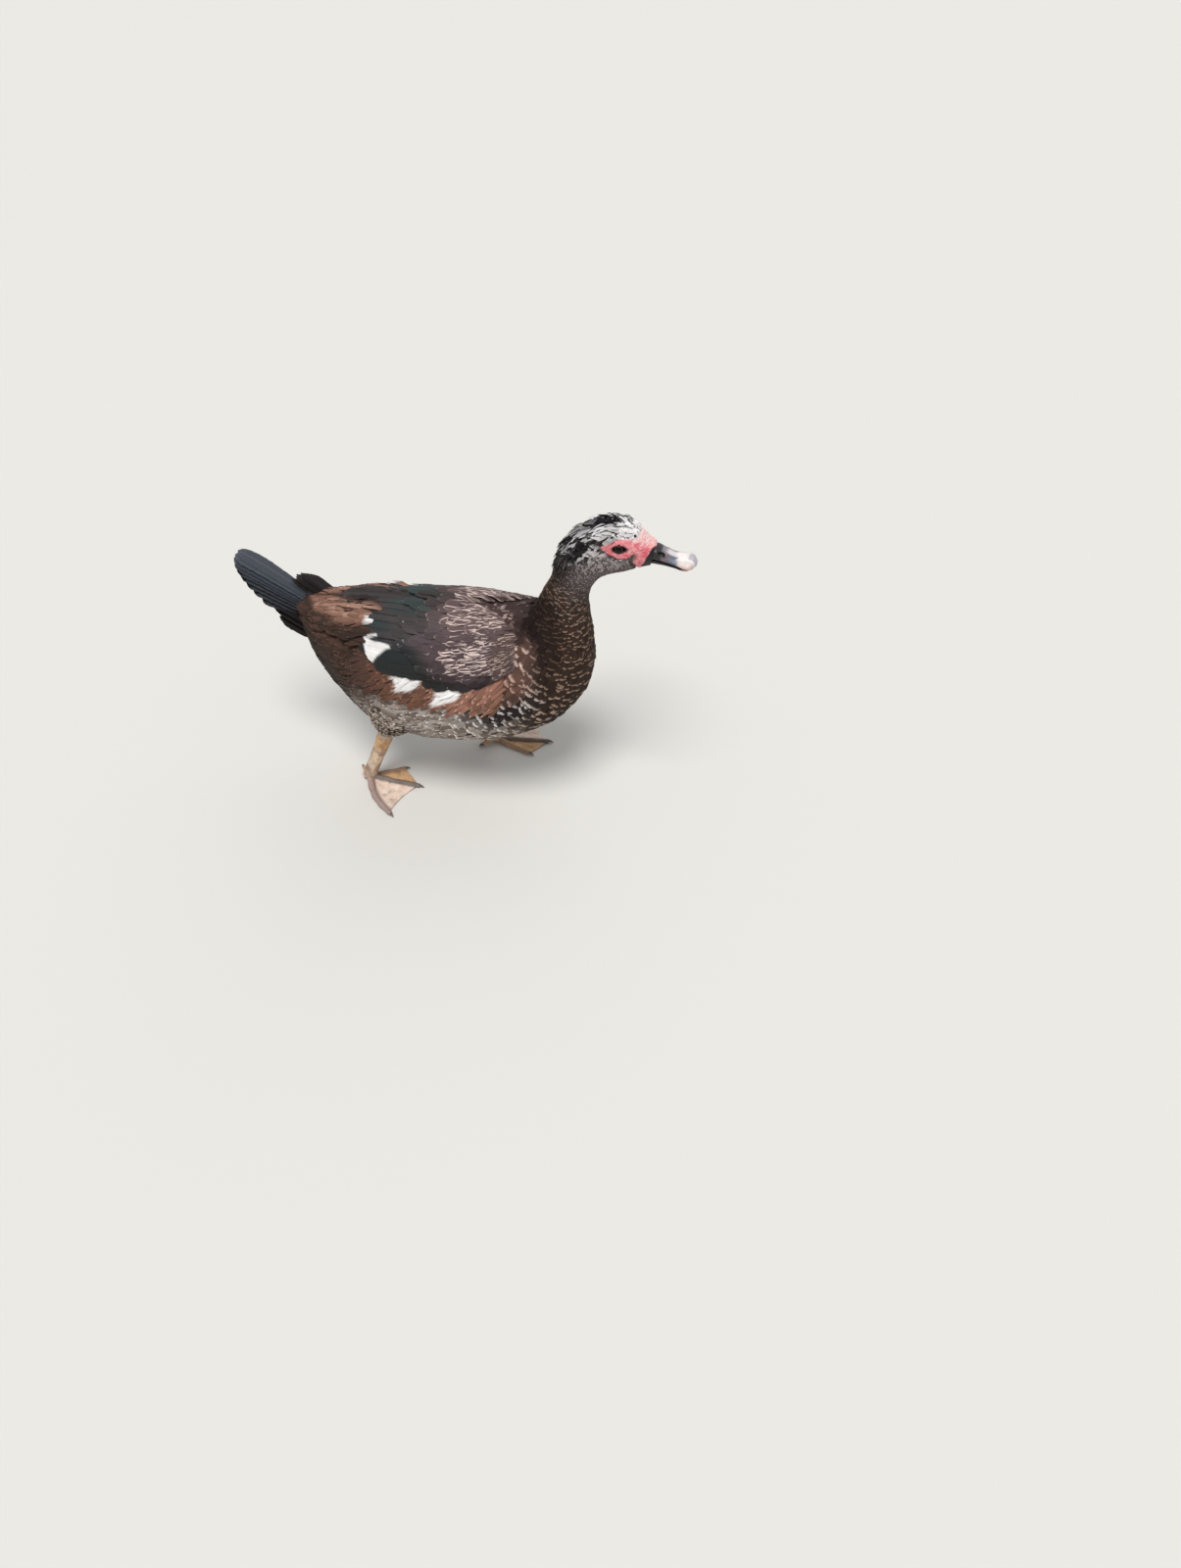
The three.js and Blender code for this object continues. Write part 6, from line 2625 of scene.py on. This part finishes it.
    def colours(self, points: Array) -> Array:
        """Cream yellow shank, ochre inner web, pale outer web and grey-brown toes.

        Args:
            points: Places in millimetres.

        Returns:
            One colour for each place.
        """
        cloud = GRAIN.smooth(points, 10.0) + GRAIN.smooth(points, 4.0) * 0.6
        patch = ease(cloud, -0.9, 0.9)
        s, _, size = self.along_shank(points)
        shank = layered(
            paint(0xE6CCAE),
            (0x8A6E5C, patch * 0.85),
            (0xD09A58, spot(points, self.ankle[0], self.ankle[2] - 8, 16, 14) * 0.8),
            (0xE8D9CE, ease(GRAIN.smooth(points + 30, 5.0), 0.1, 0.9) * 0.6),
            (0x9A7A6C, ease(GRAIN.smooth(points - 40, 5.0), 0.0, 0.8) * 0.6),
            (0xC2A296, ease(s, size - 14, size) * 0.6),
        )
        middle = np.array(self.toes[1].tip) - np.array(self.foot[:2])
        away = points[..., :2] - np.array(self.foot[:2])
        outer = ease((away[..., 0] * middle[1] - away[..., 1] * middle[0]) * -self.side.value, -120, 120)
        inner_web = layered(paint(0xDAB082), (0xAE8864, patch * 0.8))
        outer_web = layered(paint(0xF0DACA), (0xD8BBA6, patch * 0.6))
        low = layered(
            blend(inner_web, outer_web, outer),
            (0x8A7268, self.toe_nearness(self.toes[0], points) * 0.55),
            (0x4D4A4F, self.toe_nearness(self.toes[1], points, 6.5) * 0.8),
            (0x95807B, self.toe_nearness(self.toes[2], points, 8.5) * 0.85),
            (0x6E5B52, ease(GRAIN.smooth(points + 90, 6.0), 0.2, 1.0) * 0.45),
        )
        return blend(low, shank, ease(points[..., 2], 7, 14))

    def fused(self) -> Piece:
        """Fuses the rough pieces into one skin, smooths it and raises its scales."""
        rough = self.rough_foot()
        fusing = rough.modifiers.new("fuse", "REMESH")
        fusing.mode = "VOXEL"
        fusing.voxel_size = self.voxel / 1000
        smoothing = rough.modifiers.new("smooth", "SMOOTH")
        smoothing.factor = 0.5
        smoothing.iterations = 5
        mesh = worked_out(rough)
        bpy.data.objects.remove(rough)
        places = np.zeros(len(mesh.vertices) * 3, np.float32)
        normals = places.copy()
        mesh.vertices.foreach_get("co", places)
        mesh.vertices.foreach_get("normal", normals)
        points = places.reshape(-1, 3).astype(float) * 1000 + SHIFT
        points = points + normals.reshape(-1, 3) * self.scale_heights(points)[:, None]
        points[:, 2] = np.maximum(points[:, 2], 0.0)
        mesh.vertices.foreach_set("co", ((points - SHIFT) / 1000).astype(np.float32).ravel())
        write_fields(mesh, {"base_colour": self.colours(points)})
        mesh.update()
        mesh.shade_smooth()
        mesh.name = f"leg_{self.side.word}"
        mesh.materials.clear()
        mesh.materials.append(self.finish.make())
        return add_object(mesh.name, mesh)

    def build(self, claw_finish: Material) -> list[Piece]:
        """Makes the scaled leg and its claws.

        Args:
            claw_finish: The finish of the claws.

        Returns:
            The leg and its claws.
        """
        leg = self.fused()
        claws = []
        for toe in self.toes:
            way = unit(self.toe_point(toe, 1.0) - self.toe_point(toe, 0.9))[:2]
            claws.append(self.claw(toe.tip, way, 2.9, 8.5))
        claws.append(self.claw(self.hallux, unit(np.array(self.hallux) - np.array(self.foot[:2])), 2.6, 4.5))
        return [leg, make_shells(f"claws_{self.side.word}", claws, claw_finish)]


RIGHT_LEG = Leg(
    Side.RIGHT,
    (-58, -46, 166),
    (-88, -51, 88),
    (-121, -49, 9),
    (Toe((-80, -22), 2), Toe((-50, -50), 3), Toe((-71, -109), 4, 7, 1.15)),
    (-138, -31),
)
LEFT_LEG = Leg(
    Side.LEFT,
    (-22, 48, 168),
    (0, 60, 76),
    (28, 66, 9),
    (Toe((82, 49), 2), Toe((102, 78), 3), Toe((78, 121), 4, 7, 1.15)),
    (12, 50),
)


# The studio


@dataclass(frozen=True)
class Lamp:
    """One far, soft lamp: where its light comes from, its strength, its softness in degrees and warmth."""

    name: str
    place: tuple[float, float, float]
    strength: float
    soft: float
    warm: float


LAMPS = (
    Lamp("key", (0.1, -1.1, 2.6), 2.3, 24.0, 0.2),
    Lamp("back", (0.4, 1.6, 1.6), 0.5, 60.0, 0.0),
)


@dataclass
class Studio:
    """Floor, soft lights and the camera.

    Attributes:
        pitch: How far the camera looks down, in degrees.
        yaw: How far it is turned about the vertical, in degrees.
        eye: The camera's place in the maker's frame, in metres.
        lens: Focal length on a 36 mm long side.
        sky: How bright the light from all round is.
    """

    pitch: float = 45.0
    yaw: float = 13.0
    eye: tuple[float, float, float] = (0.4430, -1.1230, 1.1622)
    lens: float = 27.05
    sky: float = 0.4

    def floor(self, reach: float = 9.0) -> Piece:
        """A wide pale floor."""
        mesh = bpy.data.meshes.new("floor")
        corners = [(-reach, -reach, 0), (reach, -reach, 0), (reach, reach, 0), (-reach, reach, 0)]
        mesh.from_pydata(corners, [], [(0, 1, 2, 3)])
        mesh.materials.append(FloorFinish().make())
        return add_object("floor", mesh)

    def light(self, lamp: Lamp) -> None:
        """Adds one lamp."""
        data = bpy.data.lights.new(lamp.name, "SUN")
        data.energy = lamp.strength
        data.angle = math.radians(lamp.soft)
        data.color = (1.0, 1.0 - 0.06 * lamp.warm, 1.0 - 0.14 * lamp.warm)
        made = add_object(lamp.name, data)
        made.location = lamp.place
        made.rotation_euler = (-made.location).to_track_quat("-Z", "Y").to_euler()

    def camera(self) -> None:
        """The camera at the picture's viewing angle."""
        data = bpy.data.cameras.new("camera")
        data.sensor_fit = "AUTO"
        data.sensor_width = 36.0
        data.lens = self.lens
        data.clip_end = 50.0
        camera = add_object("camera", data)
        camera.location = Vector(np.array(self.eye) - SHIFT / 1000)
        camera.rotation_euler = (math.radians(90 - self.pitch), 0.0, math.radians(self.yaw))
        bpy.context.scene.camera = camera

    def build(self) -> None:
        """Sets up the studio."""
        self.floor()
        for lamp in LAMPS:
            self.light(lamp)
        world = bpy.data.worlds.new("studio")
        world.use_nodes = True
        ground = world.node_tree.nodes["Background"]
        ground.inputs["Color"].default_value = (0.95, 0.97, 1.0, 1.0)
        ground.inputs["Strength"].default_value = self.sky
        bpy.context.scene.world = world
        bpy.context.scene.view_settings.view_transform = "Standard"
        self.camera()


def settle(piece: Piece, replaced: Sequence[str] = ()) -> None:
    """Ties a piece to the bird's body, hides what it stands for and logs how many triangles it has."""
    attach(piece, BODY)
    if replaced:
        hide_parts(*replaced)
    faces = np.zeros(len(piece.data.polygons), np.int32)
    piece.data.polygons.foreach_get("loop_total", faces)
    log.info("%s: %d triangles", piece.name, int((faces - 2).sum()))


def fringes(side: Side) -> list[Fringe]:
    """The loose feathers over one wing's edges: the rump's above and the flank's below."""
    rump_end = 3.0 if side is Side.RIGHT else 3.4
    rump_lift = (3.5, 10.5) if side is Side.RIGHT else (2.5, 8.0)
    rump = Fringe(side, "rump", TAN_LOOK, (0.2, rump_end), (5, 46), 4.6, 30, 3.0, 12, rump_lift, 92)
    flank = Fringe(side, "flank", FLANK_LOOK, (2.7, 6.4), (56, 75), 4.4, 28, 3.0, 42, (3.5, 5.0), 94)
    return [rump, flank]


def main() -> None:
    """Builds the duck piece by piece."""
    logging.basicConfig(level=logging.INFO, format="%(name)s: %(message)s")
    Studio().build()
    legs = [RIGHT_LEG, LEFT_LEG]
    skin = Skin().build(legs)
    settle(skin, ["torso", "neck", "head", "face_mask", "thigh_right", "thigh_left"])
    skin_finish = skin.data.materials[0]
    for side in Side:
        ball, margin = Eye(side).build(skin_finish)
        settle(ball, [f"eye_{side.word}"])
        settle(margin)
    for piece, node in zip(Bill().build(), ("bill_upper", "bill_lower")):
        settle(piece, [node])
    coat = Coat().build()
    for piece in coat:
        settle(piece)
    for piece in Crest().build():
        settle(piece)
    for side in Side:
        pad, *feathers = Wing(side).build(skin_finish)
        settle(pad)
        for i, piece in enumerate(feathers):
            settle(piece, [f"wing_{side.word}"] if i == 0 else [])
        for fringe in fringes(side):
            for piece in fringe.build():
                settle(piece)
    fan, coverts = Tail().build()
    settle(fan, ["tail"])
    settle(coverts)
    claw_finish = HornFinish("claw_horn", 0.45, 1500.0).make()
    coat_finish = coat[0].data.materials[0]
    for leg in legs:
        settle(leg.thigh_coat(coat_finish))
        scaled, claws = leg.build(claw_finish)
        settle(scaled, [f"shank_{leg.side.word}", f"foot_{leg.side.word}"])
        settle(claws)


if __name__ == "__main__":
    main()
